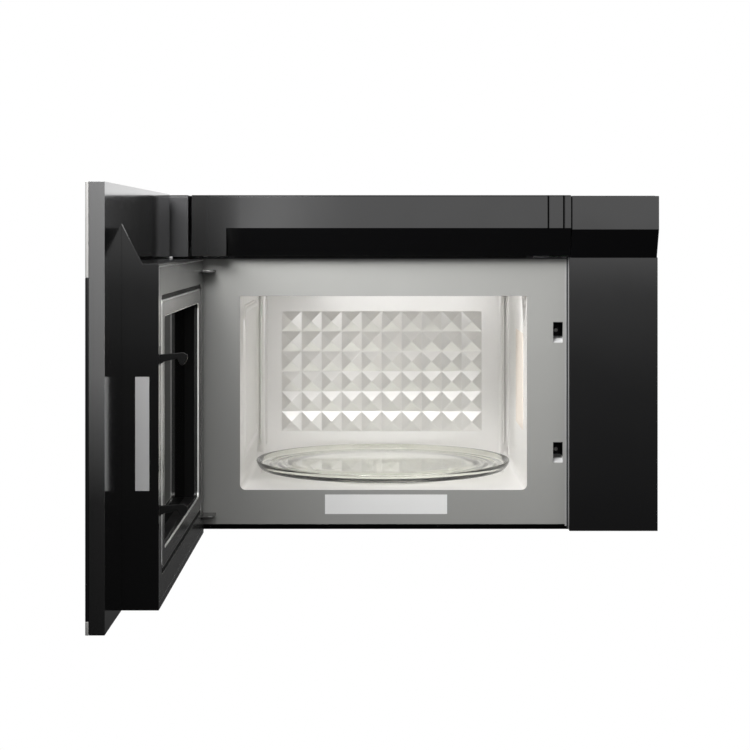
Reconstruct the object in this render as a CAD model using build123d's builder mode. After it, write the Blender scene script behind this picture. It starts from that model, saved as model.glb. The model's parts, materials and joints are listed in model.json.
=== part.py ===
"""Over-the-range microwave with a full-width door, drawn with the door swung open.

The frame: X to the right, Y into the wall, Z up, with the origin at the centre of the
rear mounting face. Sizes are in millimetres. The door's pieces are drawn closed and then
turned about the hinge line to the open position.
"""

import os
from math import cos, radians, sin

from build123d import *

os.makedirs("parts", exist_ok=True)

# ---- Driving dimensions -------------------------------------------------------------

# Oven cavity and the spaces round it
cavity_width = 360.7
cavity_height = 243.8
cavity_depth = 390.0
left_space = 84.9
right_space = 160.9
under_space = 49.1
over_space = 126.1
rear_space = 15.0
cavity_cove = 10.0
cavity_floor_radius = 7.0
cavity_ceiling_radius = 4.0

# Sheet thicknesses
case_sheet = 1.0
liner_sheet = 1.0
frame_sheet = 1.2
bracket_sheet = 1.5
plastic_wall = 2.5

# Oven face plate and the black nose above it
frame_foot = 3.8
frame_head = 79.6
frame_rail = 49.65
lip_height = 3.6
lip_left = 53.25
nose_reach = 34.0
shelf_reach = 16.0
nose_foot = 75.5
nose_slant = 34.6
nose_bevel = 2.0
cap_width = 23.25
cap_gap = 4.25
block_width = 42.75
column_gap = 3.65
column_inset = 1.65
column_overhang = 1.0
column_drop = 1.0
groove_width = 1.8
groove_depth = 1.0
louvre_bars = 30
louvre_bar = 3.0

# Door
door_angle = 90.0
hinge_inset = 24.5
hinge_reach = 17.0
door_overhang = 2.0
door_drop = 2.5
door_rise = 0.4
panel_back = 38.0
panel_depth = 15.0
skin = 3.2
relief_depth = 10.5
relief_side = 19.25
relief_top = 77.5
trim_head = 89.7
trim_foot = 12.7
box_face = 1.2
box_left = 19.75
box_head = 78.0
box_right = 0.5
box_wall = 3.5
box_side = 2.0
box_cap = 2.3
box_sill = 6.5
gusset_rise = 39.5
gusset_run = 20.4
gusset_wall = 2.5
choke_left = 28.65
choke_right = 25.15
choke_foot = 21.1
choke_head = 16.1
choke_depth = 20.0
choke_sheet = 1.2
choke_cover_sheet = 2.0
choke_groove = 5.0
choke_corner = 10.0
window_corner = 6.0
window_left = 0.65
window_right = 2.35
window_foot = 2.2
window_head = 6.4
pane_thickness = 3.0
pane_recess = 16.0
screen_sheet = 0.8

# Hinges
hinge_plate = 3.0
hinge_plate_width = 43.5
hinge_plate_reach = 30.0
hinge_plate_left = 11.25
hinge_flange = 28.0
hinge_low = 17.7
hinge_high = 96.4
hinge_pin_radius = 2.5
hinge_pin_length = 11.0
hinge_wall = 2.2
running_gap = 0.05
part_gap = 0.3
hinge_slot_gap = 0.5
hinge_sweep = 34.25
hinge_slot_reach = 34.0

# Latch
latch_inset = 38.85
latch_thickness = 5.5
latch_travel = 4.0
latch_reach = 27.5
latch_height = 191.5
latch_pitch = 150.9
latch_bar_depth = 10.0
latch_bar_back = 6.0
latch_bar_margin = 9.5
latch_slot_width = 12.0
latch_slot_height = 25.9
latch_board_wall = 3.0
plunger_travel = 1.5
plunger_radius = 2.5
plunger_length = 10.0
spring_radius = 3.5
spring_wire = 1.0
spring_length = 18.0

# Turntable
tray_radius = 172.5
tray_rim = 8.2
tray_glass = 4.0
tray_track = 125.0
tray_skirt = 3.9
tray_skirt_radius = 166.0
tray_offset = 195.0
recess_radius = 165.0
recess_depth = 6.0
roller_radius = 7.0
roller_width = 5.0
roller_track = 108.0
roller_gap = 0.15
axle_radius = 1.5
ring_width = 6.0
ring_height = 4.0
coupler_radius = 12.0
coupler_arm = 10.0
coupler_rise = 12.5
coupler_shaft_radius = 4.0
motor_radius = 25.0
motor_height = 14.0
floor_hole = 9.0

# Cavity fittings
mica_front = 61.0
mica_back = 178.0
mica_low = 68.9
mica_high = 193.9
mica_thickness = 0.5
port_inset = 14.0
panel_pitch = 29.4
panel_columns = 10
panel_rows = 6
pyramid_size = 29.0
pyramid_height = 4.4
emboss_depth = 1.5
bead_width = 4.0
bead_height = 1.2

# Components in the right-hand bay and over the cavity
waveguide_depth = 30.0
magnetron_size = 80.0
magnetron_length = 100.0
antenna_radius = 8.0
fan_radius = 56.0
fan_shaft_radius = 3.0
fan_duct_depth = 25.0
blower_radius = 54.0
blower_width = 70.0
blower_pitch = 230.0
blower_shaft_radius = 4.0
blower_wheel_radius = 44.0
vane_count = 24
filter_width = 130.0
filter_depth = 230.0
filter_thickness = 8.0
filter_ledge = 6.0
filter_travel = 10.0
lamp_cover_width = 136.0
lamp_cover_depth = 50.0
lamp_pin_radius = 1.0
lamp_lug = 6.0
lamp_ear = 3.0
board_sheet = 1.6
bay_clearance = 10.0
transformer_side = 15.0
transformer_width = 90.0
transformer_depth = 75.0
transformer_height = 76.0
transformer_foot = 6.0
winding = 15.0
capacitor_space = 22.5
capacitor_width = 56.0
capacitor_thickness = 32.0
capacitor_height = 86.0
terminal_pitch = 22.0
terminal_width = 7.0
terminal_height = 6.0
terminal_sheet = 1.0
diode_radius = 4.0
diode_length = 14.0
diode_space = 22.0

# Wall and cabinet mountings
stud_spacing = 406.4
bracket_row = 150.0
lag_radius = 3.6
lag_head_radius = 9.0
cabinet_bolt_spacing = 381.0
cabinet_bolt_radius = 3.3

# ---- Places worked out from them ----------------------------------------------------

body_width = left_space + cavity_width + right_space
body_height = under_space + cavity_height + over_space
body_depth = cavity_depth + rear_space
left = -body_width / 2
right = body_width / 2
bottom = -body_height / 2
top = body_height / 2
face = -body_depth
rear = -bracket_sheet
cavity_left = left + left_space
cavity_right = right - right_space
cavity_bottom = bottom + under_space
cavity_top = top - over_space
cavity_centre = (cavity_left + cavity_right) / 2
frame_right = cavity_right + frame_rail
frame_bottom = bottom + frame_foot
frame_top = top - frame_head
column_left = frame_right + column_gap
inside_left = left + case_sheet
inside_right = right - case_sheet
inside_top = top - case_sheet
bay_left = cavity_right + liner_sheet
tray_x = cavity_centre
tray_y = face + tray_offset
recess_floor = cavity_bottom - recess_depth
MIN = (Align.MIN, Align.MIN, Align.MIN)


def front(distance):
    """Y of a plane this far in front of the oven face."""
    return face - distance


def deep(distance):
    """Y of a plane this far behind the oven face."""
    return face + distance


def block(x, y, z, mode=Mode.ADD):
    """Add, or cut, a box between two limits on each axis."""
    (x0, x1), (y0, y1), (z0, z1) = sorted(x), sorted(y), sorted(z)
    with Locations((x0, y0, z0)):
        Box(x1 - x0, y1 - y0, z1 - z0, align=MIN, mode=mode)


def rod(start, axis, radius, length, mode=Mode.ADD):
    """Add, or cut, a cylinder that runs from a point along an axis."""
    with Locations(Plane(origin=start, z_dir=axis)):
        Cylinder(radius, length, align=(Align.CENTER, Align.CENTER, Align.MIN), mode=mode)


def panel(x, z, corner, mode=Mode.ADD):
    """Add, or cut, a rectangle between two limits, with its corners rounded."""
    (x0, x1), (z0, z1) = sorted(x), sorted(z)
    with Locations(((x0 + x1) / 2, (z0 + z1) / 2)):
        RectangleRounded(x1 - x0, z1 - z0, corner, mode=mode)


# ---- Cabinet ------------------------------------------------------------------------

cord_x = inside_right - 50
cord_y = rear - 60
cord_hole = 10.0
exhaust_x = (-90.0, 90.0)
exhaust_y = (rear - 95, rear - 20)
cabinet_bolt_y = face + 115

with BuildPart() as case_wrap:
    block((left, right), (face, rear), (bottom, top))
    block((inside_left, inside_right), (face, rear), (bottom, inside_top), Mode.SUBTRACT)
    rod((cord_x, cord_y, inside_top), (0, 0, 1), cord_hole, case_sheet, Mode.SUBTRACT)
    block(exhaust_x, exhaust_y, (inside_top, top), Mode.SUBTRACT)
    with Locations((0, cabinet_bolt_y, inside_top)):
        with GridLocations(cabinet_bolt_spacing, 1, 2, 1):
            Cylinder(
                cabinet_bolt_radius,
                case_sheet,
                align=(Align.CENTER, Align.CENTER, Align.MIN),
                mode=Mode.SUBTRACT,
            )
case_wrap.part.label = "case_wrap"
export_step(case_wrap.part, "parts/case_wrap.step")

with BuildPart() as exhaust_cover:
    block(exhaust_x, exhaust_y, (inside_top, top))
exhaust_cover.part.label = "exhaust_cover"
export_step(exhaust_cover.part, "parts/exhaust_cover.step")

grommet_bore = 6.0
grommet_flange = 14.0
grommet_height = 8.0
with BuildPart() as cord_grommet:
    rod((cord_x, cord_y, inside_top), (0, 0, 1), cord_hole, case_sheet)
    rod((cord_x, cord_y, inside_top - grommet_height), (0, 0, 1), grommet_flange, grommet_height)
    rod((cord_x, cord_y, inside_top - grommet_height), (0, 0, 1), grommet_bore,
        grommet_height + case_sheet, Mode.SUBTRACT)
cord_grommet.part.label = "cord_grommet"
export_step(cord_grommet.part, "parts/cord_grommet.step")

rear_front = rear - case_sheet
with BuildPart() as rear_plate:
    block((inside_left, inside_right), (rear_front, rear), (bottom, inside_top))
    with BuildSketch(Plane.XZ.offset(-rear)):
        with Locations((cavity_centre, 0)):
            with GridLocations(60, 40, 4, 2):
                SlotOverall(30, 6)
        with GridLocations(stud_spacing, bracket_row, 2, 2):
            Circle(lag_head_radius)
    extrude(amount=case_sheet, mode=Mode.SUBTRACT)
rear_plate.part.label = "rear_plate"
export_step(rear_plate.part, "parts/rear_plate.step")

bracket_margin = 33.0
bracket_window_height = 90.0
bracket_window_margin = 40.0
with BuildPart() as wall_bracket:
    with BuildSketch(Plane.XZ):
        RectangleRounded(body_width - 2 * bracket_margin, bracket_row + 80, 8)
        with GridLocations(stud_spacing, bracket_row, 2, 2):
            Circle(lag_radius, mode=Mode.SUBTRACT)
        with GridLocations(body_width / 2 - bracket_margin, 1, 2, 1):
            RectangleRounded(
                body_width / 2 - 2 * bracket_window_margin - bracket_margin,
                bracket_window_height,
                6,
                mode=Mode.SUBTRACT,
            )
    extrude(amount=bracket_sheet)
wall_bracket.part.label = "wall_bracket"
export_step(wall_bracket.part, "parts/wall_bracket.step")

# Grease filters lie on ledges of the base, left and right of the turntable motor
filter_front = deep(75)
filter_back = filter_front + filter_depth
filter_gap = 0.4
filter_low = bottom + case_sheet
left_filter_x = tray_x - motor_radius - 30 - filter_width
right_filter_x = tray_x + motor_radius + 30
lamp_low_x = tray_x - lamp_cover_width / 2
lamp_front = deep(14)
lamp_back = lamp_front + lamp_cover_depth
lamp_gap = 0.5
lamp_axis_y = lamp_back + 1.0
lamp_axis_z = bottom + 4.5
lamp_sweep = lamp_axis_z - bottom
lamp_slot_back = lamp_axis_y + lamp_sweep + part_gap
rail_thickness = 1.2
rail_height = filter_thickness + 2 * part_gap + rail_thickness
intake_rows = 9

with BuildPart() as base_plate:
    block((inside_left, inside_right), (face, rear_front), (bottom, bottom + case_sheet))
    lip_x = left + lip_left
    block((lip_x, frame_right), (face, deep(frame_sheet)), (bottom, bottom + lip_height))
    lip_corner = base_plate.edges().filter_by(Axis.Y).group_by(Axis.Z)[-1].sort_by(Axis.X)[:1]
    chamfer(lip_corner, lip_height - case_sheet - 0.2)
    for filter_x in (left_filter_x, right_filter_x):
        block((filter_x + filter_ledge, filter_x + filter_width - filter_ledge),
              (filter_front + filter_ledge, filter_back - filter_ledge),
              (bottom, bottom + case_sheet), Mode.SUBTRACT)
        for rail_y, inward in ((filter_front, 1), (filter_back, -1)):
            web = rail_y - inward * (filter_gap + rail_thickness)
            block((filter_x, filter_x + filter_width), (web, web + inward * rail_thickness),
                  (filter_low, filter_low + rail_height))
            block((filter_x, filter_x + filter_width), (web, web + inward * 5),
                  (filter_low + rail_height - rail_thickness, filter_low + rail_height))
    block((lamp_low_x - lamp_gap, lamp_low_x + lamp_cover_width + lamp_gap),
          (lamp_front - lamp_gap, lamp_slot_back), (bottom, bottom + case_sheet),
          Mode.SUBTRACT)
    for ear_x in (lamp_low_x + lamp_lug + part_gap,
                  lamp_low_x + lamp_cover_width - lamp_lug - part_gap - lamp_ear):
        block((ear_x, ear_x + lamp_ear), (lamp_axis_y - 2, lamp_slot_back + 3),
              (bottom + case_sheet, lamp_axis_z + 2.5))
    rod((lamp_low_x, lamp_axis_y, lamp_axis_z), (1, 0, 0), lamp_pin_radius,
        lamp_lug + part_gap + lamp_ear)
    rod((lamp_low_x + lamp_cover_width, lamp_axis_y, lamp_axis_z), (-1, 0, 0), lamp_pin_radius,
        lamp_lug + part_gap + lamp_ear)
    with BuildSketch(Plane.XY.offset(bottom)):
        with Locations(((right_filter_x + filter_width + inside_right) / 2 + 10, deep(130))):
            with GridLocations(1, 8, 1, intake_rows):
                SlotOverall(60, 3)
    extrude(amount=case_sheet, mode=Mode.SUBTRACT)
base_plate.part.label = "base_plate"
export_step(base_plate.part, "parts/base_plate.step")


def grease_filter(low_x):
    """Aluminium frame with an open mesh, lying on the ledges of the base."""
    rim = 8.0
    mesh = 2.0
    columns, rows = 7, 13
    pitch_x = (filter_width - 2 * rim) / columns
    pitch_y = (filter_depth - 2 * rim) / rows
    with BuildPart() as made:
        low = filter_low + part_gap
        block((low_x, low_x + filter_width), (filter_front, filter_back),
              (low, low + filter_thickness))
        middle = (low_x + filter_width / 2, (filter_front + filter_back) / 2)
        inner = (filter_width - 2 * rim, filter_depth - 2 * rim)
        for level in (low, low + (filter_thickness + mesh) / 2):
            with Locations((*middle, level)):
                Box(*inner, (filter_thickness - mesh) / 2,
                    align=(Align.CENTER, Align.CENTER, Align.MIN), mode=Mode.SUBTRACT)
        with BuildSketch(Plane.XY.offset(low)):
            with Locations(middle):
                with GridLocations(pitch_x, pitch_y, columns, rows):
                    Rectangle(pitch_x - mesh, pitch_y - mesh)
        extrude(amount=filter_thickness, mode=Mode.SUBTRACT)
    return made


grease_filter_left = grease_filter(left_filter_x)
grease_filter_left.part.label = "grease_filter_left"
export_step(grease_filter_left.part, "parts/grease_filter_left.step")

grease_filter_right = grease_filter(right_filter_x)
grease_filter_right.part.label = "grease_filter_right"
export_step(grease_filter_right.part, "parts/grease_filter_right.step")

lug_radius = 2.4
lens_side = 12.0
lens_end = 7.0
with BuildPart() as lamp_cover:
    cover_x = (lamp_low_x, lamp_low_x + lamp_cover_width)
    block(cover_x, (lamp_front, lamp_back), (bottom, bottom + case_sheet))
    notch = lamp_lug + 2 * part_gap + lamp_ear
    for notch_x in (cover_x[0], cover_x[1] - notch):
        block((notch_x, notch_x + notch), (lamp_axis_y - lamp_sweep - part_gap, lamp_back),
              (bottom, bottom + case_sheet), Mode.SUBTRACT)
    for lug_x in (cover_x[0], cover_x[1] - lamp_lug):
        rod((lug_x, lamp_axis_y, lamp_axis_z), (1, 0, 0), lug_radius, lamp_lug)
        block((lug_x, lug_x + lamp_lug), (lamp_axis_y - lamp_sweep - 3, lamp_axis_y),
              (bottom, lamp_axis_z))
        rod((lug_x, lamp_axis_y, lamp_axis_z), (1, 0, 0), lamp_pin_radius + running_gap,
            lamp_lug, Mode.SUBTRACT)
    block((cover_x[0] + lens_side, cover_x[1] - lens_side), (lamp_front + lens_end, lamp_back - lens_end),
          (bottom, bottom + case_sheet), Mode.SUBTRACT)
lamp_cover.part.label = "lamp_cover"
export_step(lamp_cover.part, "parts/lamp_cover.step")

with BuildPart() as lamp_lens:
    block((cover_x[0] + lens_side, cover_x[1] - lens_side), (lamp_front + lens_end, lamp_back - lens_end),
          (bottom, bottom + case_sheet))
lamp_lens.part.label = "lamp_lens"
export_step(lamp_lens.part, "parts/lamp_lens.step")

lamp_bulb_radius = 8.0
lamp_height = 18.0
lamp_foot = 16.0
lamp_foot_depth = 24.0
lamp_head = 10.0
lamp_reach = 36.0
bay_lamp_width = 24.0
bay_lamp_front = 24.0
bay_lamp_depth = 36.0
bay_lamp_drop = 8.0
bay_lamp_height = 50.0
bay_bulb_radius = 7.0
bay_bulb_height = 34.0
bay_lamp_x = (bay_left, bay_left + bay_lamp_width)
bay_lamp_y = (deep(bay_lamp_front), deep(bay_lamp_front + bay_lamp_depth))
bay_lamp_z = (cavity_top - bay_lamp_drop - bay_lamp_height, cavity_top - bay_lamp_drop)
with BuildPart() as lamps:
    for side in (-1, 1):
        foot_x = tray_x + side * (lamp_cover_width / 2 + lamp_gap)
        block((foot_x, foot_x + side * lamp_foot), (lamp_front, lamp_front + lamp_foot_depth),
              (bottom + case_sheet, bottom + case_sheet + lamp_height + lamp_head))
        rod((foot_x, lamp_front + lamp_foot_depth / 2, bottom + case_sheet + lamp_height),
            (-side, 0, 0), lamp_bulb_radius, lamp_reach)
    block(bay_lamp_x, bay_lamp_y, bay_lamp_z)
    block((bay_lamp_x[0], bay_lamp_x[1] - 1), (bay_lamp_y[0] + 1, bay_lamp_y[1] - 1),
          (bay_lamp_z[0] + 1, bay_lamp_z[1] - 1), Mode.SUBTRACT)
    rod((bay_lamp_x[0] + bay_lamp_width / 2, (bay_lamp_y[0] + bay_lamp_y[1]) / 2, bay_lamp_z[0]),
        (0, 0, 1), bay_bulb_radius, bay_bulb_height)
lamps.part.label = "lamps"
export_step(lamps.part, "parts/lamps.step")

screw_radius = 4.0
screw_height = 2.0
screw_margin = 12.0
nut_height = 6.0
nut_radius = 7.0
with BuildPart() as case_fasteners:
    with BuildSketch(Plane.XY.offset(bottom - screw_height)):
        with Locations((0, (face + rear) / 2)):
            with GridLocations(body_width / 2 - screw_margin, body_depth - 4 * screw_margin, 3, 2):
                Circle(screw_radius)
    extrude(amount=screw_height)
    fillet(case_fasteners.faces().sort_by(Axis.Z)[:6].edges(), 0.8)
    with BuildSketch(Plane.XY.offset(inside_top - nut_height)):
        with Locations((0, cabinet_bolt_y)):
            with GridLocations(cabinet_bolt_spacing, 1, 2, 1):
                RegularPolygon(nut_radius, 6)
                Circle(cabinet_bolt_radius, mode=Mode.SUBTRACT)
    extrude(amount=nut_height)
case_fasteners.part.label = "case_fasteners"
export_step(case_fasteners.part, "parts/case_fasteners.step")

# ---- Oven front ---------------------------------------------------------------------

hinge_x = left + hinge_inset
hinge_y = front(hinge_reach)
hinge_axis = Axis((hinge_x, hinge_y, 0), (0, 0, 1))
hinge_low_z = bottom + hinge_low
hinge_high_z = top - hinge_high
latch_x = cavity_right + latch_inset
latch_z = (cavity_bottom + latch_height, cavity_bottom + latch_height - latch_pitch)
latch_slot_low = -6.5
hinge_plate_x = (left + hinge_plate_left, left + hinge_plate_left + hinge_plate_width)


def cavity_outline(grow=0.0):
    """The cavity's mouth, with small corners at the ceiling and larger ones at the floor."""
    with Locations((cavity_centre, (cavity_bottom + cavity_top) / 2)):
        mouth = Rectangle(cavity_width + 2 * grow, cavity_height + 2 * grow)
    corners = mouth.vertices().group_by(Axis.Y)
    fillet(corners[0], cavity_floor_radius + grow)
    fillet(corners[-1], cavity_ceiling_radius + grow)


with BuildPart() as oven_front_frame:
    with BuildSketch(Plane.XZ.offset(-deep(frame_sheet))) as mouth_cut:
        cavity_outline()
    block((inside_left, frame_right), (face, deep(frame_sheet)), (frame_bottom, frame_top))
    extrude(mouth_cut.sketch, amount=frame_sheet, mode=Mode.SUBTRACT)
    for base_z in latch_z:
        block((latch_x - latch_slot_width / 2, latch_x + latch_slot_width / 2),
              (face, deep(frame_sheet)),
              (base_z + latch_slot_low, base_z + latch_slot_low + latch_slot_height),
              Mode.SUBTRACT)
    for plate_z in (hinge_low_z, hinge_high_z):
        block(hinge_plate_x, (face, deep(frame_sheet)), (plate_z, plate_z + hinge_plate),
              Mode.SUBTRACT)
oven_front_frame.part.label = "oven_front_frame"
export_step(oven_front_frame.part, "parts/oven_front_frame.step")

label_size = (153.4, 24.5)
label_low = 15.1
label_left = 106.85
label_paper = 0.2
with BuildPart() as frame_label:
    label_x = cavity_left + label_left
    block((label_x, label_x + label_size[0]), (front(label_paper), face),
          (frame_bottom + label_low, frame_bottom + label_low + label_size[1]))
frame_label.part.label = "frame_label"
export_step(frame_label.part, "parts/frame_label.step")


# Each plate passes through a slot of the face plate, with a flange behind and a pin
with BuildPart() as hinge_plates:
    for plate_z in (hinge_low_z, hinge_high_z):
        block(hinge_plate_x, (front(hinge_plate_reach), deep(frame_sheet)),
              (plate_z, plate_z + hinge_plate))
        block(hinge_plate_x, (deep(frame_sheet), deep(frame_sheet + 2)),
              (plate_z + hinge_plate / 2 - hinge_flange / 2,
               plate_z + hinge_plate / 2 + hinge_flange / 2))
    fillet(hinge_plates.edges().filter_by(Axis.Z).group_by(Axis.Y)[0], 6)
    rod((hinge_x, hinge_y, hinge_low_z + hinge_plate), (0, 0, 1), hinge_pin_radius,
        hinge_pin_length)
    rod((hinge_x, hinge_y, hinge_high_z), (0, 0, -1), hinge_pin_radius, hinge_pin_length)
hinge_plates.part.label = "hinge_plates"
export_step(hinge_plates.part, "parts/hinge_plates.step")

# ---- Black nose: vent band, its end cap and the right-hand column --------------------


def nose_outline(foot, inset=0.0):
    """Side outline of the nose: flat face, slanted underside, shelf and open back."""
    lean = nose_slant / (nose_reach - shelf_reach)
    shift = inset * ((1 + lean**2) ** 0.5 - 1) / lean
    slant_top = foot + nose_slant
    Polygon(
        (front(0), foot + inset),
        (front(shelf_reach - inset), foot + inset),
        (front(nose_reach - inset), slant_top + shift),
        (front(nose_reach - inset), top - nose_bevel - inset),
        (front(nose_reach - nose_bevel - inset), top - inset),
        (front(0), top - inset),
        align=None,
    )


band_left = left + cap_width + cap_gap
band_right = frame_right + column_gap - 1.45
band_foot = top - nose_foot
cap_foot = band_foot - 0.9
slat_x = (band_left + 20, band_right - 45)
slat_y = (front(nose_reach - 8), front(6))

with BuildPart() as vent_top_band:
    with BuildSketch(Plane.YZ.offset(band_left)):
        nose_outline(band_foot)
    extrude(amount=band_right - band_left)
    block((band_left, band_left + block_width), (front(nose_reach), front(0)),
          (band_foot, band_foot + nose_slant))
    with BuildSketch(Plane.YZ.offset(band_left + plastic_wall)):
        nose_outline(band_foot, plastic_wall)
    extrude(amount=band_right - band_left - 2 * plastic_wall, mode=Mode.SUBTRACT)
    with BuildSketch(Plane.XY.offset(top - plastic_wall)):
        with Locations(((slat_x[0] + slat_x[1]) / 2, (slat_y[0] + slat_y[1]) / 2)):
            with GridLocations((slat_x[1] - slat_x[0]) / louvre_bars, 1, louvre_bars, 1):
                Rectangle((slat_x[1] - slat_x[0]) / louvre_bars - louvre_bar, slat_y[1] - slat_y[0])
    extrude(amount=plastic_wall, mode=Mode.SUBTRACT)
    for groove_x in (band_right - 28.2, band_right - 9.2):
        block((groove_x, groove_x + groove_width),
              (front(nose_reach), front(nose_reach - groove_depth)),
              (band_foot + nose_slant, top), Mode.SUBTRACT)
vent_top_band.part.label = "vent_top_band"
export_step(vent_top_band.part, "parts/vent_top_band.step")

with BuildPart() as vent_end_cap:
    block((left, left + cap_width), (front(nose_reach), front(0)), (cap_foot, top))
    chamfer(vent_end_cap.edges().filter_by(Axis.X).group_by(Axis.Z)[-1].sort_by(Axis.Y)[:1],
            nose_bevel)
    block((left + plastic_wall, left + cap_width - plastic_wall),
          (front(nose_reach - plastic_wall), front(0)),
          (cap_foot + plastic_wall, top - plastic_wall), Mode.SUBTRACT)
vent_end_cap.part.label = "vent_end_cap"
export_step(vent_end_cap.part, "parts/vent_end_cap.step")

column_foot = band_foot - 2.0
column_top = top - column_drop
column_base_x = (column_left - column_inset, right + column_overhang)
with BuildPart() as column_cover:
    with BuildSketch(Plane.YZ.offset(column_left)):
        nose_outline(column_foot)
    extrude(amount=right - column_left)
    block(column_base_x, (front(shelf_reach), front(0)), (bottom, column_foot))
    with BuildSketch(Plane.YZ.offset(column_left + plastic_wall)):
        nose_outline(column_foot, plastic_wall)
    extrude(amount=right - column_left - 2 * plastic_wall, mode=Mode.SUBTRACT)
    block((column_base_x[0] + plastic_wall, column_base_x[1] - plastic_wall),
          (front(shelf_reach - plastic_wall), front(0)),
          (bottom + plastic_wall, column_foot - plastic_wall), Mode.SUBTRACT)
    block((column_left, right), (front(nose_reach), front(0)), (column_top, top),
          Mode.SUBTRACT)
column_cover.part.label = "column_cover"
export_step(column_cover.part, "parts/column_cover.step")

column_window = 14.0
deck_depth = 60.0
deck_low = frame_top
charcoal_thickness = 16.0
charcoal_front = deep(8)
charcoal_x = (band_left + block_width, band_right - 45)
charcoal_height = 68.0
channel_wall = 1.2
channel_width = 8.0
with BuildPart() as inner_front_panel:
    column_plate_x = (frame_right, inside_right)
    block(column_plate_x, (face, deep(frame_sheet)), (bottom + case_sheet, inside_top))
    block((column_plate_x[0] + column_window, column_plate_x[1] - column_window),
          (face, deep(frame_sheet)),
          (bottom + 2 * column_window, top - 3 * column_window), Mode.SUBTRACT)
    block((inside_left, frame_right), (face, deep(deck_depth)), (deck_low, deck_low + case_sheet))
    for end_x, inward in ((charcoal_x[0], 1), (charcoal_x[1], -1)):
        outer = end_x - inward * (part_gap + channel_wall)
        block((outer, outer + inward * channel_width),
              (charcoal_front - part_gap - channel_wall,
               charcoal_front + charcoal_thickness + part_gap + channel_wall),
              (deck_low + case_sheet, deck_low + charcoal_height))
        block((end_x - inward * part_gap, outer + inward * channel_width),
              (charcoal_front - part_gap, charcoal_front + charcoal_thickness + part_gap),
              (deck_low + case_sheet, deck_low + charcoal_height), Mode.SUBTRACT)
inner_front_panel.part.label = "inner_front_panel"
export_step(inner_front_panel.part, "parts/inner_front_panel.step")

with BuildPart() as charcoal_filter:
    block(charcoal_x, (charcoal_front, charcoal_front + charcoal_thickness),
          (deck_low + case_sheet, deck_low + case_sheet + charcoal_height))
charcoal_filter.part.label = "charcoal_filter"
export_step(charcoal_filter.part, "parts/charcoal_filter.step")

# ---- Cavity -------------------------------------------------------------------------

liner_back = deep(cavity_depth)
port_y = (deep(mica_front + port_inset), deep(mica_back - port_inset))
port_z = (cavity_bottom + mica_low + 24, cavity_bottom + mica_high - 24)
emboss_y = (deep(71), deep(267))
emboss_z = (cavity_bottom + 53, cavity_bottom + 230)
perforation_radius = 1.2
back_x = (cavity_left + cavity_cove, cavity_right - cavity_cove)

with BuildPart() as cavity_space:
    with BuildSketch(Plane.XZ.offset(-liner_back)):
        cavity_outline()
    extrude(amount=cavity_depth)
    with BuildSketch(Plane.XY.offset(cavity_bottom)):
        with Locations((cavity_centre, (face + liner_back) / 2)):
            plan = Rectangle(cavity_width, cavity_depth)
        fillet(plan.vertices().group_by(Axis.Y)[-1], cavity_cove)
    extrude(amount=cavity_height, mode=Mode.INTERSECT)

with BuildPart() as cavity_liner:
    block((cavity_left - liner_sheet, cavity_right + liner_sheet),
          (deep(frame_sheet), liner_back + liner_sheet),
          (cavity_bottom - liner_sheet, cavity_top + liner_sheet))
    rod((tray_x, tray_y, recess_floor - liner_sheet), (0, 0, 1), recess_radius + liner_sheet,
        recess_depth + liner_sheet)
    add(cavity_space.part, mode=Mode.SUBTRACT)
    rod((tray_x, tray_y, recess_floor), (0, 0, 1), recess_radius, recess_depth, Mode.SUBTRACT)
    rod((tray_x, tray_y, recess_floor - liner_sheet), (0, 0, 1), floor_hole, liner_sheet,
        Mode.SUBTRACT)
    block(back_x, (liner_back, liner_back + liner_sheet), (cavity_bottom, cavity_top),
          Mode.SUBTRACT)
    block((cavity_right, bay_left), port_y, port_z, Mode.SUBTRACT)
    with BuildSketch(Plane.YZ.offset(cavity_right)):
        with Locations((deep(42), (cavity_bottom + cavity_top) / 2 + 39)):
            with GridLocations(8, 8, 3, 20):
                Circle(perforation_radius)
    extrude(amount=liner_sheet, mode=Mode.SUBTRACT)
    with BuildSketch(Plane.YZ.offset(cavity_left)):
        with Locations(((emboss_y[0] + emboss_y[1]) / 2, (emboss_z[0] + emboss_z[1]) / 2)):
            RectangleRounded(emboss_y[1] - emboss_y[0], emboss_z[1] - emboss_z[0], 14)
    extrude(amount=emboss_depth, taper=45)
    bead_z = (cavity_bottom + cavity_floor_radius, cavity_top - cavity_ceiling_radius)
    block((cavity_left, cavity_left + bead_height), (deep(343), deep(343 + bead_width)), bead_z)
    block((cavity_right - bead_height, cavity_right), (deep(308), deep(308 + bead_width)), bead_z)
cavity_liner.part.label = "cavity_liner"
export_step(cavity_liner.part, "parts/cavity_liner.step")

with BuildPart() as pyramid:
    with BuildSketch(Plane.XZ):
        Rectangle(pyramid_size, pyramid_size)
    with BuildSketch(Plane.XZ.offset(pyramid_height)):
        Rectangle(1, 1)
    loft()

with BuildPart() as cavity_back_panel:
    block(back_x, (liner_back, liner_back + liner_sheet), (cavity_bottom, cavity_top))
    pyramid_z = cavity_bottom + 120.2
    with Locations(Plane((cavity_centre - 1, liner_back, pyramid_z), (1, 0, 0), (0, -1, 0))):
        with GridLocations(panel_pitch, panel_pitch, panel_columns, panel_rows):
            add(pyramid.part.rotate(Axis.X, -90))
cavity_back_panel.part.label = "cavity_back_panel"
export_step(cavity_back_panel.part, "parts/cavity_back_panel.step")

with BuildPart() as waveguide_cover:
    block((cavity_right - mica_thickness, cavity_right), (deep(mica_front), deep(mica_back)),
          (cavity_bottom + mica_low, cavity_bottom + mica_high))
waveguide_cover.part.label = "waveguide_cover"
export_step(waveguide_cover.part, "parts/waveguide_cover.step")

# ---- Turntable ----------------------------------------------------------------------

roller_z = recess_floor + roller_gap + roller_radius
tray_low = recess_floor + 2 * roller_radius + 2 * roller_gap
hub_low = recess_floor + 0.8
motor_top = recess_floor - liner_sheet

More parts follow.
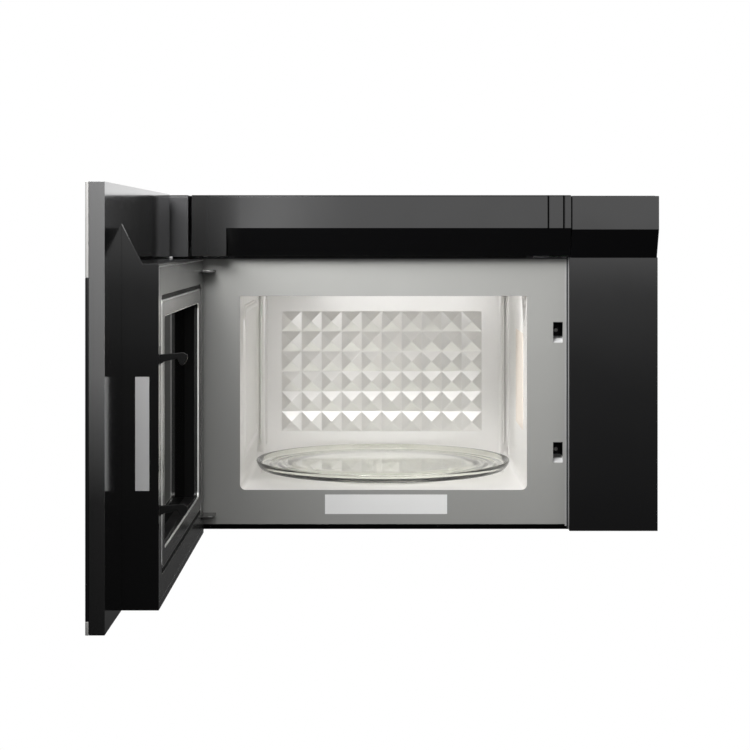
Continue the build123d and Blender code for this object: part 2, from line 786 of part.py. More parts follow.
with BuildPart() as turntable_motor:
    rod((tray_x, tray_y, motor_top), (0, 0, -1), motor_radius, motor_height)
    block((tray_x - motor_radius - 8, tray_x + motor_radius + 8), (tray_y - 8, tray_y + 8),
          (motor_top - 1.5, motor_top))
    rod((tray_x, tray_y, motor_top), (0, 0, -1), coupler_shaft_radius + running_gap,
        motor_height, Mode.SUBTRACT)
turntable_motor.part.label = "turntable_motor"
export_step(turntable_motor.part, "parts/turntable_motor.step")

with BuildPart() as turntable_coupler:
    rod((tray_x, tray_y, motor_top - motor_height + 2), (0, 0, 1), coupler_shaft_radius,
        hub_low - motor_top + motor_height - 2)
    rod((tray_x, tray_y, hub_low), (0, 0, 1), coupler_radius, coupler_rise)
    with Locations((tray_x, tray_y, hub_low + coupler_rise / 2)):
        with PolarLocations(coupler_radius + coupler_arm / 2 - 1, 3):
            Box(coupler_arm + 2, 6, coupler_rise)
turntable_coupler.part.label = "turntable_coupler"
export_step(turntable_coupler.part, "parts/turntable_coupler.step")

lug_track = coupler_radius + coupler_arm / 2 + 1
lug_drop = 7.0
with BuildPart() as glass_tray:
    with BuildSketch(Plane((tray_x, tray_y, tray_low), (1, 0, 0), (0, -1, 0))):
        Polygon(
            (0, 0),
            (tray_track, 0),
            (tray_track + tray_glass, -tray_skirt),
            (tray_skirt_radius, -tray_skirt),
            (tray_radius, tray_rim / 2),
            (tray_radius, tray_rim - 1),
            (tray_radius - 1, tray_rim),
            (tray_radius - 3, tray_rim),
            (tray_radius - 3 * tray_glass, tray_glass / 2),
            (tray_track + tray_glass, tray_glass / 2),
            (tray_track, tray_glass),
            (0, tray_glass),
            align=None,
        )
    revolve(axis=Axis((tray_x, tray_y, 0), (0, 0, 1)))
    with Locations((tray_x, tray_y, tray_low - lug_drop / 2)):
        with PolarLocations(lug_track, 3, start_angle=60):
            Cylinder(3, lug_drop)
glass_tray.part.label = "glass_tray"
export_step(glass_tray.part, "parts/glass_tray.step")

ring_outer = roller_track - roller_width / 2 - 1.0
axle_root = 2.0
axle_end = 3.0
with BuildPart() as roller_ring:
    with BuildSketch(Plane.XY.offset(roller_z - ring_height / 2)):
        with Locations((tray_x, tray_y)):
            Circle(ring_outer)
            Circle(ring_outer - ring_width, mode=Mode.SUBTRACT)
    extrude(amount=ring_height)
    for wheel in range(3):
        angle = radians(90 + 120 * wheel)
        outward = (cos(angle), sin(angle), 0)
        start = (tray_x + (ring_outer - axle_root) * outward[0],
                 tray_y + (ring_outer - axle_root) * outward[1], roller_z)
        rod(start, outward, axle_radius, axle_root + roller_width + axle_end)
roller_ring.part.label = "roller_ring"
export_step(roller_ring.part, "parts/roller_ring.step")


def roller(wheel):
    """Small wheel that turns on one of the ring's radial axles."""
    angle = radians(90 + 120 * wheel)
    outward = (cos(angle), sin(angle), 0)
    inner = roller_track - roller_width / 2
    start = (tray_x + inner * outward[0], tray_y + inner * outward[1], roller_z)
    with BuildPart() as made:
        rod(start, outward, roller_radius, roller_width)
        rod(start, outward, axle_radius + running_gap, roller_width, Mode.SUBTRACT)
    return made


roller_wheel_1 = roller(0)
roller_wheel_1.part.label = "roller_wheel_1"
export_step(roller_wheel_1.part, "parts/roller_wheel_1.step")

roller_wheel_2 = roller(1)
roller_wheel_2.part.label = "roller_wheel_2"
export_step(roller_wheel_2.part, "parts/roller_wheel_2.step")

roller_wheel_3 = roller(2)
roller_wheel_3.part.label = "roller_wheel_3"
export_step(roller_wheel_3.part, "parts/roller_wheel_3.step")

# ---- Microwave source and electrics in the right-hand bay ----------------------------

guide_y = (deep(mica_front + 4), deep(mica_back - 4))
guide_z = (port_z[0] - 6, port_z[1] + 50)
guide_x = (bay_left, bay_left + waveguide_depth)
tube_y = (guide_y[0] + guide_y[1]) / 2
tube_z = guide_z[1] - 36

with BuildPart() as waveguide:
    block(guide_x, guide_y, guide_z)
    block((guide_x[0] + liner_sheet, guide_x[1] - liner_sheet),
          (guide_y[0] + liner_sheet, guide_y[1] - liner_sheet),
          (guide_z[0] + liner_sheet, guide_z[1] - liner_sheet), Mode.SUBTRACT)
    block((guide_x[0], guide_x[0] + liner_sheet), port_y, port_z, Mode.SUBTRACT)
    rod((guide_x[1] - liner_sheet, tube_y, tube_z), (1, 0, 0), antenna_radius + 2, liner_sheet,
        Mode.SUBTRACT)
waveguide.part.label = "waveguide"
export_step(waveguide.part, "parts/waveguide.step")

magnetron_flange = 1.5
magnetron_core = 20.0
magnetron_yoke = 2.0
magnetron_box = 26.0
magnetron_box_length = 30.0
fin_count = 7
fin_start = 18.0
fin_pitch = 6.0
fin_sheet = 1.0
with BuildPart() as magnetron:
    tube_x = guide_x[1]
    filter_box_x = tube_x + magnetron_length - magnetron_box_length
    half = magnetron_size / 2
    block((tube_x, tube_x + magnetron_flange), (tube_y - half, tube_y + half),
          (tube_z - half, tube_z + half))
    rod((tube_x, tube_y, tube_z), (-1, 0, 0), antenna_radius, waveguide_depth * 0.6)
    rod((tube_x, tube_y, tube_z), (1, 0, 0), magnetron_core, magnetron_length)
    for fin in range(fin_count):
        fin_x = tube_x + fin_start + fin * fin_pitch
        block((fin_x, fin_x + fin_sheet), (tube_y - half, tube_y + half),
              (tube_z - half, tube_z + half))
    for yoke_z in (tube_z - half - magnetron_yoke, tube_z + half):
        block((tube_x, filter_box_x), (tube_y - half, tube_y + half),
              (yoke_z, yoke_z + magnetron_yoke))
    block((filter_box_x, tube_x + magnetron_length), (tube_y - magnetron_box, tube_y + magnetron_box),
          (tube_z - magnetron_box, tube_z + magnetron_box))
magnetron.part.label = "magnetron"
export_step(magnetron.part, "parts/magnetron.step")

floor_z = bottom + case_sheet
capacitor_back = rear_front - capacitor_space
capacitor_y = capacitor_back - capacitor_thickness / 2
capacitor_x = inside_right - transformer_side - capacitor_width / 2 - winding
diode_x = capacitor_x - capacitor_width / 2 - diode_space
transformer_x = (inside_right - transformer_side - transformer_width, inside_right - transformer_side)
transformer_back = capacitor_back - capacitor_thickness - bay_clearance - winding
transformer_y = (transformer_back - transformer_depth, transformer_back)
with BuildPart() as hv_transformer:
    core_z = (floor_z + transformer_foot, floor_z + transformer_height)
    block(transformer_x, transformer_y, core_z)
    block((transformer_x[0] + winding, transformer_x[1] - winding),
          (transformer_y[0] - winding, transformer_y[1] + winding),
          (core_z[0] + winding - 3, core_z[1] - winding + 1))
    for foot_y in transformer_y:
        block(transformer_x, (foot_y - transformer_foot, foot_y + transformer_foot),
              (floor_z, floor_z + transformer_foot))
hv_transformer.part.label = "hv_transformer"
export_step(hv_transformer.part, "parts/hv_transformer.step")

with BuildPart() as hv_capacitor:
    with BuildSketch(Plane.XY.offset(floor_z)):
        with Locations((capacitor_x, capacitor_y)):
            SlotOverall(capacitor_width, capacitor_thickness)
    extrude(amount=capacitor_height)
    with Locations((capacitor_x, capacitor_y, floor_z + capacitor_height + terminal_height / 2)):
        with GridLocations(terminal_pitch, 1, 2, 1):
            Box(terminal_width, terminal_sheet, terminal_height)
    rod((diode_x, capacitor_y, floor_z + diode_radius), (1, 0, 0), diode_radius, diode_length)
    block((diode_x - 2 * diode_radius, diode_x), (capacitor_y - diode_radius, capacitor_y + diode_radius),
          (floor_z, floor_z + diode_radius + 1))
hv_capacitor.part.label = "hv_capacitor"
export_step(hv_capacitor.part, "parts/hv_capacitor.step")

fan_x = (bay_left + inside_right) / 2
fan_z = cavity_bottom + 178.0
fan_front = deep(mica_back + 14)
fan_half = (inside_right - bay_left) / 2
fan_hub = 14.0
fan_clearance = 4.0
fan_blades = 5
fan_blade_chord = 26.0
fan_blade_sheet = 1.6
fan_blade_pitch = 28.0
fan_spoke = 10.0
fan_spoke_sheet = 4.0
fan_motor_gap = 6.0
fan_motor_radius = 24.0
fan_motor_length = 26.0
fan_core_width = 36.0
fan_core_height = 34.0

with BuildPart() as fan_housing:
    block((bay_left, inside_right), (fan_front, fan_front + fan_duct_depth),
          (fan_z - fan_half, fan_z + fan_half))
    rod((fan_x, fan_front, fan_z), (0, 1, 0), fan_radius + fan_clearance, fan_duct_depth,
        Mode.SUBTRACT)
    for spoke in (-1, 1):
        block((fan_x + spoke * (fan_motor_radius - 2), fan_x + spoke * (fan_radius + 2 * fan_clearance)),
              (fan_front + fan_duct_depth, fan_front + fan_duct_depth + fan_spoke_sheet),
              (fan_z - fan_spoke / 2, fan_z + fan_spoke / 2))
fan_housing.part.label = "fan_housing"
export_step(fan_housing.part, "parts/fan_housing.step")

fan_motor_y = fan_front + fan_duct_depth
with BuildPart() as fan_motor:
    rod((fan_x, fan_motor_y, fan_z), (0, 1, 0), fan_motor_radius - 2, fan_motor_length)
    block((fan_x - fan_core_width / 2, fan_x + fan_core_width / 2),
          (fan_motor_y + fan_motor_gap, fan_motor_y + fan_motor_length - 4),
          (fan_z - fan_core_height, fan_z))
    rod((fan_x, fan_motor_y, fan_z), (0, 1, 0), fan_shaft_radius + running_gap,
        fan_motor_length, Mode.SUBTRACT)
fan_motor.part.label = "fan_motor"
export_step(fan_motor.part, "parts/fan_motor.step")

with BuildPart() as fan_blade:
    rod((fan_x, fan_front + fan_clearance, fan_z), (0, 1, 0), fan_shaft_radius,
        fan_duct_depth + fan_motor_length - 2 * fan_clearance)
    rod((fan_x, fan_front + fan_clearance, fan_z), (0, 1, 0), fan_hub,
        fan_duct_depth - 2 * fan_clearance)
    with Locations(Plane(origin=(fan_x, fan_front + fan_duct_depth / 2, fan_z), z_dir=(0, 1, 0))):
        with PolarLocations((fan_radius + fan_hub) / 2 - 3, fan_blades):
            Box(fan_radius - fan_hub + 2, fan_blade_chord, fan_blade_sheet,
                rotation=(fan_blade_pitch, 0, 0))
fan_blade.part.label = "fan_blade"
export_step(fan_blade.part, "parts/fan_blade.step")

board_y = deep(14)
board_x = (frame_right + 8, inside_right - 6)
board_low = 95.0
board_height = 180.0
board_z = (cavity_bottom + board_low, cavity_bottom + board_low + board_height)
board_post = 2.0
board_parts = ((28, 30, 24), (18, 20, 16), (34, 24, 12), (14, 30, 20))
board_part_inset = 8.0
board_part_low = 12.0
board_part_pitch = 42.0
can_radius = 8.0
can_inset = 22.0
line_board_x = (cord_x - 45, cord_x + 25)
line_board_z = (inside_top - 80, inside_top - 20)
line_board_space = 12.0
choke_coil_radius = 14.0
choke_coil_depth = 16.0
fuse_size = (20.0, 12.0, 36.0)
with BuildPart() as circuit_boards:
    block(board_x, (board_y, board_y + board_sheet), board_z)
    for post_x in (board_x[0] + 2, board_x[1] - 2):
        for post_z in (board_z[0] + 8, board_z[1] - 8):
            rod((post_x, deep(frame_sheet), post_z), (0, 1, 0), board_post,
                board_y - deep(frame_sheet))
    parts_y = board_y + board_sheet
    for row, (wide, tall, thick) in enumerate(board_parts):
        low_z = board_z[0] + board_part_low + row * board_part_pitch
        block((board_x[0] + board_part_inset, board_x[0] + board_part_inset + wide),
              (parts_y, parts_y + thick), (low_z, low_z + tall))
        rod((board_x[1] - can_inset, parts_y, low_z + board_part_low), (0, 1, 0), can_radius, thick)
    filter_y = rear_front - line_board_space
    block(line_board_x, (filter_y - board_sheet, filter_y), line_board_z)
    for post_x in (line_board_x[0] + 5, line_board_x[1] - 5):
        for post_z in (line_board_z[0] + 5, line_board_z[1] - 5):
            rod((post_x, filter_y, post_z), (0, 1, 0), board_post, line_board_space)
    rod((line_board_x[0] + 20, filter_y - board_sheet, line_board_z[0] + 30), (0, -1, 0),
        choke_coil_radius, choke_coil_depth)
    block((cord_x, cord_x + fuse_size[0]),
          (filter_y - board_sheet - fuse_size[1], filter_y - board_sheet),
          (line_board_z[0] + 10, line_board_z[0] + 10 + fuse_size[2]))
circuit_boards.part.label = "circuit_boards"
export_step(circuit_boards.part, "parts/circuit_boards.step")

liner_top = cavity_top + liner_sheet
liner_side = cavity_left - liner_sheet
cutout_radius = 8.0
cutout_height = 9.0
ceiling_cutout = (80.0, 90.0)
wall_cutout = 150.0
with BuildPart() as thermal_cutouts:
    rod((cavity_right - ceiling_cutout[0], deep(ceiling_cutout[1]), liner_top), (0, 0, 1),
        cutout_radius, cutout_height)
    rod((liner_side, deep(wall_cutout), cavity_bottom + wall_cutout), (-1, 0, 0),
        cutout_radius, cutout_height)
thermal_cutouts.part.label = "thermal_cutouts"
export_step(thermal_cutouts.part, "parts/thermal_cutouts.step")

# ---- Vent blower over the cavity -----------------------------------------------------

blower_y = deep(300)
blower_z = top - case_sheet - blower_radius - 8
blower_wall = 1.5
outlet_reach = 130.0
outlet_height = 38.0
blower_inlet = 36.0
blower_motor_radius = 33.0
blower_motor_length = 90.0
blower_leg = (22.0, 40.0)
blower_foot = 12.0
motor_cradle = (50.0, 56.0)
wheel_disc = 4.0
wheel_ring = 3.0
wheel_ring_width = 10.0
vane_depth = 8.0
vane_sheet = 1.5


# Each scroll has an inlet on both sides and an outlet towards the front
with BuildPart() as blower_scrolls:
    for side in (-1, 1):
        low_x = cavity_centre + side * blower_pitch / 2 - blower_width / 2
        for inset, mode in ((0, Mode.ADD), (blower_wall, Mode.SUBTRACT)):
            with BuildSketch(Plane.YZ.offset(low_x + inset)):
                with Locations((blower_y, blower_z)):
                    Circle(blower_radius - inset)
                with Locations((blower_y, blower_z + blower_radius - inset)):
                    Rectangle(outlet_reach, outlet_height - 2 * inset,
                              align=(Align.MAX, Align.MAX))
            extrude(amount=blower_width - 2 * inset, mode=mode)
        rod((low_x, blower_y, blower_z), (1, 0, 0), blower_inlet, blower_width, Mode.SUBTRACT)
        for leg in (-1, 1):
            leg_y = (blower_y + leg * blower_leg[0], blower_y + leg * blower_leg[1])
            block((low_x, low_x + blower_wall), leg_y, (liner_top, blower_z - blower_inlet + 4))
            block((low_x, low_x + blower_foot), leg_y, (liner_top, liner_top + blower_wall))
blower_scrolls.part.label = "blower_scrolls"
export_step(blower_scrolls.part, "parts/blower_scrolls.step")

with BuildPart() as blower_motor:
    low_x = cavity_centre - blower_motor_length / 2
    rod((low_x, blower_y, blower_z), (1, 0, 0), blower_motor_radius, blower_motor_length)
    block((cavity_centre - motor_cradle[0] / 2, cavity_centre + motor_cradle[0] / 2),
          (blower_y - motor_cradle[1] / 2, blower_y + motor_cradle[1] / 2), (liner_top, blower_z))
    rod((low_x, blower_y, blower_z), (1, 0, 0), blower_shaft_radius + running_gap,
        blower_motor_length, Mode.SUBTRACT)
blower_motor.part.label = "blower_motor"
export_step(blower_motor.part, "parts/blower_motor.step")

wheel_width = blower_width - 2 * blower_wall - 8
with BuildPart() as blower_wheels:
    shaft_length = blower_pitch + wheel_width / 2
    rod((cavity_centre - shaft_length / 2, blower_y, blower_z), (1, 0, 0), blower_shaft_radius,
        shaft_length)
    for side in (-1, 1):
        wheel_x = cavity_centre + side * blower_pitch / 2
        rod((wheel_x - wheel_disc / 2, blower_y, blower_z), (1, 0, 0), blower_wheel_radius,
            wheel_disc)
        with Locations(Plane(origin=(wheel_x, blower_y, blower_z), z_dir=(1, 0, 0))):
            for end in (-1, 1):
                with Locations((0, 0, end * (wheel_width - wheel_ring) / 2)):
                    Cylinder(blower_wheel_radius, wheel_ring)
                    Cylinder(blower_wheel_radius - wheel_ring_width, wheel_ring, mode=Mode.SUBTRACT)
            with PolarLocations(blower_wheel_radius - wheel_ring_width / 2, vane_count):
                Box(vane_depth, vane_sheet, wheel_width - 2)
        rod((wheel_x - wheel_width / 2, blower_y, blower_z), (1, 0, 0), blower_shaft_radius,
            wheel_width)
blower_wheels.part.label = "blower_wheels"
export_step(blower_wheels.part, "parts/blower_wheels.step")

# ---- Latch board behind the face plate -----------------------------------------------

catch_space = 18.0
catch_low = 16.0
catch_high = 26.0
catch_back = deep(latch_reach + catch_space)
catch_x = (latch_x - latch_slot_width / 2 - latch_board_wall - 1,
           latch_x + latch_slot_width / 2 + latch_board_wall)
catch_z = (latch_z[1] - catch_low, latch_z[0] + catch_high)
catch_tip = deep(latch_reach - box_face)
plunger_rise = 8.0
pocket_width = 10.0
switch_width = 13.0
switch_depth = 12.0
switch_low = 6.0
switch_high = 22.0
ledge_depth = 10.0
ledge_ramp = 6.0
ledge_lip = 1.0
ledge_gap = 1.0

with BuildPart() as latch_board:
    block(catch_x, (deep(frame_sheet), catch_back), catch_z)
    block((catch_x[0] + latch_board_wall, catch_x[1] - latch_board_wall),
          (deep(frame_sheet), catch_back - latch_board_wall),
          (latch_z[1] + latch_slot_height + 6, latch_z[0] - catch_low), Mode.SUBTRACT)
    for base_z in latch_z:
        block((catch_x[0] + latch_board_wall, catch_x[1] - latch_board_wall),
              (deep(frame_sheet), catch_tip + part_gap),
              (base_z + latch_slot_low, base_z + latch_slot_low + latch_slot_height),
              Mode.SUBTRACT)
        rod((latch_x, catch_tip, base_z + plunger_rise), (0, 1, 0),
            plunger_radius + running_gap, catch_back - catch_tip, Mode.SUBTRACT)
        block((latch_x - pocket_width / 2, latch_x + pocket_width / 2),
              (catch_tip + part_gap + plunger_travel + 3, catch_back),
              (base_z - 2, base_z + 2 * plunger_rise), Mode.SUBTRACT)
        block((latch_x - switch_width / 2, latch_x + switch_width / 2),
              (catch_back, catch_back + switch_depth), (base_z - switch_low, base_z + switch_high))
        ledge_z = (base_z + latch_slot_low, base_z - ledge_gap)
        with BuildSketch(Plane.YZ.offset(catch_x[0] + latch_board_wall)):
            Polygon(
                (deep(frame_sheet), ledge_z[0]),
                (deep(frame_sheet + ledge_depth), ledge_z[0]),
                (deep(frame_sheet + ledge_depth), ledge_z[1]),
                (deep(frame_sheet + ledge_ramp), ledge_z[1]),
                (deep(frame_sheet), ledge_z[0] + ledge_lip),
                align=None,
            )
        extrude(amount=catch_x[1] - catch_x[0] - 2 * latch_board_wall)
latch_board.part.label = "latch_board"
export_step(latch_board.part, "parts/latch_board.step")


def plunger(base_z):
    """Push rod of one interlock switch, with its head behind the latch board's wall."""
    with BuildPart() as made:
        rod((latch_x, catch_tip + part_gap, base_z + plunger_rise), (0, 1, 0),
            plunger_radius, plunger_length)
    return made


interlock_plunger_upper = plunger(latch_z[0])
interlock_plunger_upper.part.label = "interlock_plunger_upper"
export_step(interlock_plunger_upper.part, "parts/interlock_plunger_upper.step")

interlock_plunger_lower = plunger(latch_z[1])
interlock_plunger_lower.part.label = "interlock_plunger_lower"
export_step(interlock_plunger_lower.part, "parts/interlock_plunger_lower.step")

# ---- Door, drawn closed ---------------------------------------------------------------

door_left = left - door_overhang
door_right = right + door_overhang
door_bottom = bottom - door_drop
door_top = top + door_rise
panel_front = panel_back + panel_depth
panel_wall = 3.0
box_x = (left + box_left, frame_right - box_right)
box_top = top - box_head
box_z = (door_bottom, box_top)
plate_x = (box_x[0] + box_side, box_x[1] - box_wall)
plate_z = (box_z[0] + box_sill, box_top - box_cap)
relief_x = left + relief_side
choke_x = (cavity_left - choke_left, cavity_right + choke_right)
choke_z = (cavity_bottom - choke_foot, cavity_top + choke_head)
window_x = (cavity_left - window_left, cavity_right - window_right)
window_z = (cavity_bottom + window_foot, cavity_top - window_head)
choke_back = box_face + frame_sheet + choke_depth
trim_top_z = door_top - trim_head
trim_bottom_z = door_bottom + trim_foot


def swung_open(piece):
    """The finished piece, turned with the door about the hinge line."""
    return piece.part.rotate(hinge_axis, -door_angle)


view_margin = 8.0
relief_step = 51.0
with BuildPart() as door_panel_closed:
    block((door_left, door_right), (front(panel_back), front(panel_front)), (door_bottom, door_top))
    hollow = (front(panel_back + panel_wall), front(panel_front))
    block((relief_x + panel_wall, door_right - panel_wall), hollow,
          (door_bottom + panel_wall, top - relief_top - panel_wall), Mode.SUBTRACT)
    block((relief_x + relief_step + panel_wall, door_right - panel_wall), hollow,
          (top - relief_top - panel_wall, door_top - panel_wall), Mode.SUBTRACT)
    block((door_left, relief_x), (front(panel_back), front(panel_back + relief_depth)),
          (door_bottom, door_top), Mode.SUBTRACT)
    block((door_left, relief_x + relief_step), (front(panel_back), front(panel_back + relief_depth)),
          (top - relief_top, door_top), Mode.SUBTRACT)
    block((window_x[0] + view_margin, window_x[1] - view_margin),
          (front(panel_back), front(panel_back + panel_wall)),
          (window_z[0] + view_margin, window_z[1] - view_margin), Mode.SUBTRACT)
door_panel = swung_open(door_panel_closed)
door_panel.label = "door_panel"
export_step(door_panel, "parts/door_panel.step")

with BuildPart() as door_glass_closed:
    block((door_left, door_right), (front(panel_front), front(panel_front + skin)),
          (trim_bottom_z, trim_top_z))
door_glass = swung_open(door_glass_closed)
door_glass.label = "door_glass"
export_step(door_glass, "parts/door_glass.step")


# Stainless strips over the full width, above and below the glass
with BuildPart() as door_trims_closed:
    for trim_z in ((door_bottom, trim_bottom_z), (trim_top_z, door_top)):
        block((door_left, door_right), (front(panel_front), front(panel_front + skin)), trim_z)
    fillet(door_trims_closed.edges().filter_by(Axis.Z).group_by(Axis.Y)[0], 1.0)
door_trims = swung_open(door_trims_closed)
door_trims.label = "door_trims"
export_step(door_trims, "parts/door_trims.step")

bush_spans = (
    (hinge_low_z + hinge_plate + part_gap, hinge_low_z + hinge_plate + hinge_pin_length),
    (hinge_high_z - hinge_pin_length, hinge_high_z - part_gap),
)
slot_spans = (
    (hinge_low_z - hinge_slot_gap, hinge_low_z + hinge_plate + hinge_slot_gap),
    (hinge_high_z - hinge_slot_gap, hinge_high_z + hinge_plate + hinge_slot_gap),
)
bush_front = front(hinge_reach - hinge_pin_radius - running_gap - hinge_wall)
spring_low = latch_z[0] + 21.4
guide_height = 15.0

with BuildPart() as door_box_closed:
    block(box_x, (front(box_face), front(panel_back)), box_z)
    block(plate_x, (front(box_face), front(panel_back)), plate_z, Mode.SUBTRACT)
    for (slot_low, slot_high), (bush_low, bush_high) in zip(slot_spans, bush_spans):
        block((box_x[0], plate_x[0]), (front(box_face), front(hinge_slot_reach)),
              (min(slot_low, bush_low), max(slot_high, bush_high)), Mode.SUBTRACT)
    with BuildSketch(Plane.YZ.offset(box_x[1] - gusset_wall)):
        with BuildLine():
            Polyline(
                (front(panel_back), box_top),
                (front(panel_back - gusset_run), box_top),
                (front(panel_back), box_top + gusset_rise),
                close=True,
            )
        make_face()
    extrude(amount=gusset_wall)
    for guide_z in (latch_z[1] + 30, latch_z[0] - 40):
        block((latch_x + latch_thickness / 2 + part_gap, plate_x[1]),
              (front(4), front(18)), (guide_z, guide_z + guide_height))
        block((latch_x - latch_thickness / 2 - 3, plate_x[1]), (front(16.5), front(18)),
              (guide_z, guide_z + guide_height))
    block((latch_x - 5, plate_x[1]), (front(4), front(18)),
          (spring_low + spring_length, spring_low + spring_length + 3))
door_box = swung_open(door_box_closed)
door_box.label = "door_box"
export_step(door_box, "parts/door_box.step")

with BuildPart() as door_seal_plate_closed:
    plate_y = (front(box_face), front(box_face + frame_sheet))
    block(plate_x, plate_y, plate_z)
    with BuildSketch(Plane.XZ.offset(-front(box_face))):
        panel(choke_x, choke_z, choke_corner)
    extrude(amount=frame_sheet, mode=Mode.SUBTRACT)
    for slot_low, slot_high in slot_spans:
        block((plate_x[0], hinge_x + hinge_sweep), plate_y, (slot_low, slot_high), Mode.SUBTRACT)
    for base_z in latch_z:
        block((latch_x - latch_thickness / 2 - 1, latch_x + latch_thickness / 2 + 1), plate_y,
              (base_z - 1, base_z + latch_bar_depth + latch_travel + 4), Mode.SUBTRACT)
door_seal_plate = swung_open(door_seal_plate_closed)
door_seal_plate.label = "door_seal_plate"
export_step(door_seal_plate, "parts/door_seal_plate.step")

inner_x = (choke_x[0] + choke_groove, choke_x[1] - choke_groove)
inner_z = (choke_z[0] + choke_groove, choke_z[1] - choke_groove)
with BuildPart() as door_window_frame_closed:
    with BuildSketch(Plane.XZ.offset(-front(box_face))):
        panel(inner_x, inner_z, choke_corner - choke_groove)
        panel(window_x, window_z, window_corner, Mode.SUBTRACT)
    extrude(amount=frame_sheet)
door_window_frame = swung_open(door_window_frame_closed)
door_window_frame.label = "door_window_frame"
export_step(door_window_frame, "parts/door_window_frame.step")

with BuildPart() as door_choke_closed:
    front_y = front(box_face + frame_sheet)
    block(choke_x, (front_y, front(choke_back)), choke_z)
    block((choke_x[0] + choke_sheet, choke_x[1] - choke_sheet),
          (front_y, front(choke_back - choke_sheet)),
          (choke_z[0] + choke_sheet, choke_z[1] - choke_sheet), Mode.SUBTRACT)
    block((window_x[0] - choke_sheet, window_x[1] + choke_sheet),
          (front_y, front(choke_back - choke_sheet)),
          (window_z[0] - choke_sheet, window_z[1] + choke_sheet))
    block(window_x, (front_y, front(choke_back)), window_z, Mode.SUBTRACT)
door_choke = swung_open(door_choke_closed)
door_choke.label = "door_choke"
export_step(door_choke, "parts/door_choke.step")

with BuildPart() as door_choke_cover_closed:
    with BuildSketch(Plane.XZ.offset(-front(box_face + 1))):
        panel((choke_x[0] + choke_sheet, choke_x[1] - choke_sheet),
              (choke_z[0] + choke_sheet, choke_z[1] - choke_sheet), choke_corner - choke_sheet)
        panel(inner_x, inner_z, choke_corner - choke_groove, Mode.SUBTRACT)
    extrude(amount=choke_cover_sheet)
door_choke_cover = swung_open(door_choke_cover_closed)
door_choke_cover.label = "door_choke_cover"
export_step(door_choke_cover, "parts/door_choke_cover.step")

with BuildPart() as door_window_pane_closed:
    pane_y = box_face + frame_sheet + pane_recess
    block(window_x, (front(pane_y), front(pane_y + pane_thickness)), window_z)
door_window_pane = swung_open(door_window_pane_closed)
door_window_pane.label = "door_window_pane"
export_step(door_window_pane, "parts/door_window_pane.step")

with BuildPart() as door_screen_closed:
    block((choke_x[0], choke_x[1]), (front(choke_back), front(choke_back + screen_sheet)),
          choke_z)
    post = (choke_back + screen_sheet, panel_back)
    for post_x in (choke_x[0] + 6, choke_x[1] - 6):
        for post_z in (choke_z[0] + 6, choke_z[1] - 6):
            rod((post_x, front(post[1]), post_z), (0, 1, 0), 4, post[1] - post[0])
door_screen = swung_open(door_screen_closed)
door_screen.label = "door_screen"
export_step(door_screen, "parts/door_screen.step")

with BuildPart() as hinge_bushes_closed:
    for bush_low, bush_high in bush_spans:
        block((box_x[0], hinge_x + 6), (bush_front, front(hinge_slot_reach)),
              (bush_low, bush_high))
        block((plate_x[0], hinge_x + 6), (front(hinge_slot_reach), front(panel_back)),
              (bush_low, bush_high))
        rod((hinge_x, hinge_y, bush_low), (0, 0, 1), hinge_pin_radius + running_gap,
            bush_high - bush_low, Mode.SUBTRACT)
hinge_bushes = swung_open(hinge_bushes_closed)
hinge_bushes.label = "hinge_bushes"
export_step(hinge_bushes, "parts/hinge_bushes.step")

board_low_x = column_left + 10
with BuildPart() as touch_board_closed:
    board_front = panel_back + panel_wall + 4
    touch_x = (board_low_x, door_right - 12)
    touch_z = (bottom + 40, bottom + 310)
    block(touch_x, (front(board_front), front(board_front + board_sheet)), touch_z)
    for post_x in (touch_x[0] + 5, touch_x[1] - 5):
        for post_z in (touch_z[0] + 5, touch_z[1] - 5):
            rod((post_x, front(board_front), post_z), (0, 1, 0), 2, 4)
    block((touch_x[0] + 12, touch_x[1] - 12),
          (front(board_front + board_sheet), front(panel_front)),
          (touch_z[1] - 50, touch_z[1] - 12))
touch_board = swung_open(touch_board_closed)
touch_board.label = "touch_board"
export_step(touch_board, "parts/touch_board.step")

sticker_low = 116.0
sticker_high = 229.0
with BuildPart() as door_sticker_closed:
    block((box_x[1], box_x[1] + label_paper), (front(10.6), front(24.5)),
          (bottom + sticker_low, bottom + sticker_high))
door_sticker = swung_open(door_sticker_closed)
door_sticker.label = "door_sticker"
export_step(door_sticker, "parts/door_sticker.step")

with BuildPart() as latch_hooks_closed:
    hook_x = latch_x - latch_thickness / 2
    block((hook_x, hook_x + latch_thickness), (front(latch_bar_back), front(latch_bar_back + 10)),
          (latch_z[1] - latch_bar_margin, spring_low))
    for base_z in latch_z:
        with BuildSketch(Plane.YZ.offset(hook_x)):
            with BuildLine():
                tip = latch_reach - box_face
                Polyline(
                    (front(latch_bar_back), base_z),
                    (front(box_face), base_z),
                    (deep(tip - 23), base_z + 3),
                    (deep(tip - 10), base_z + 6),
                    (deep(tip - 7), base_z - 0.5),
                    (deep(tip - 4), base_z - 0.5),
                    (deep(tip), base_z + 6),
                    (deep(tip), base_z + 9.5),
                    (deep(tip - 4), base_z + 11.8),
                    (front(box_face), base_z + latch_bar_depth),
                    (front(latch_bar_back), base_z + latch_bar_depth),
                    close=True,
                )
            make_face()
        extrude(amount=latch_thickness)
latch_hooks = swung_open(latch_hooks_closed)
latch_hooks.label = "latch_hooks"
export_step(latch_hooks, "parts/latch_hooks.step")

with BuildPart() as latch_spring_closed:
    rod((latch_x, front(latch_bar_back + 5), spring_low), (0, 0, 1), spring_radius, spring_length)
    rod((latch_x, front(latch_bar_back + 5), spring_low), (0, 0, 1), spring_radius - spring_wire,
        spring_length, Mode.SUBTRACT)
latch_spring = swung_open(latch_spring_closed)
latch_spring.label = "latch_spring"
export_step(latch_spring, "parts/latch_spring.step")
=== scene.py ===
import json
from math import pi, radians

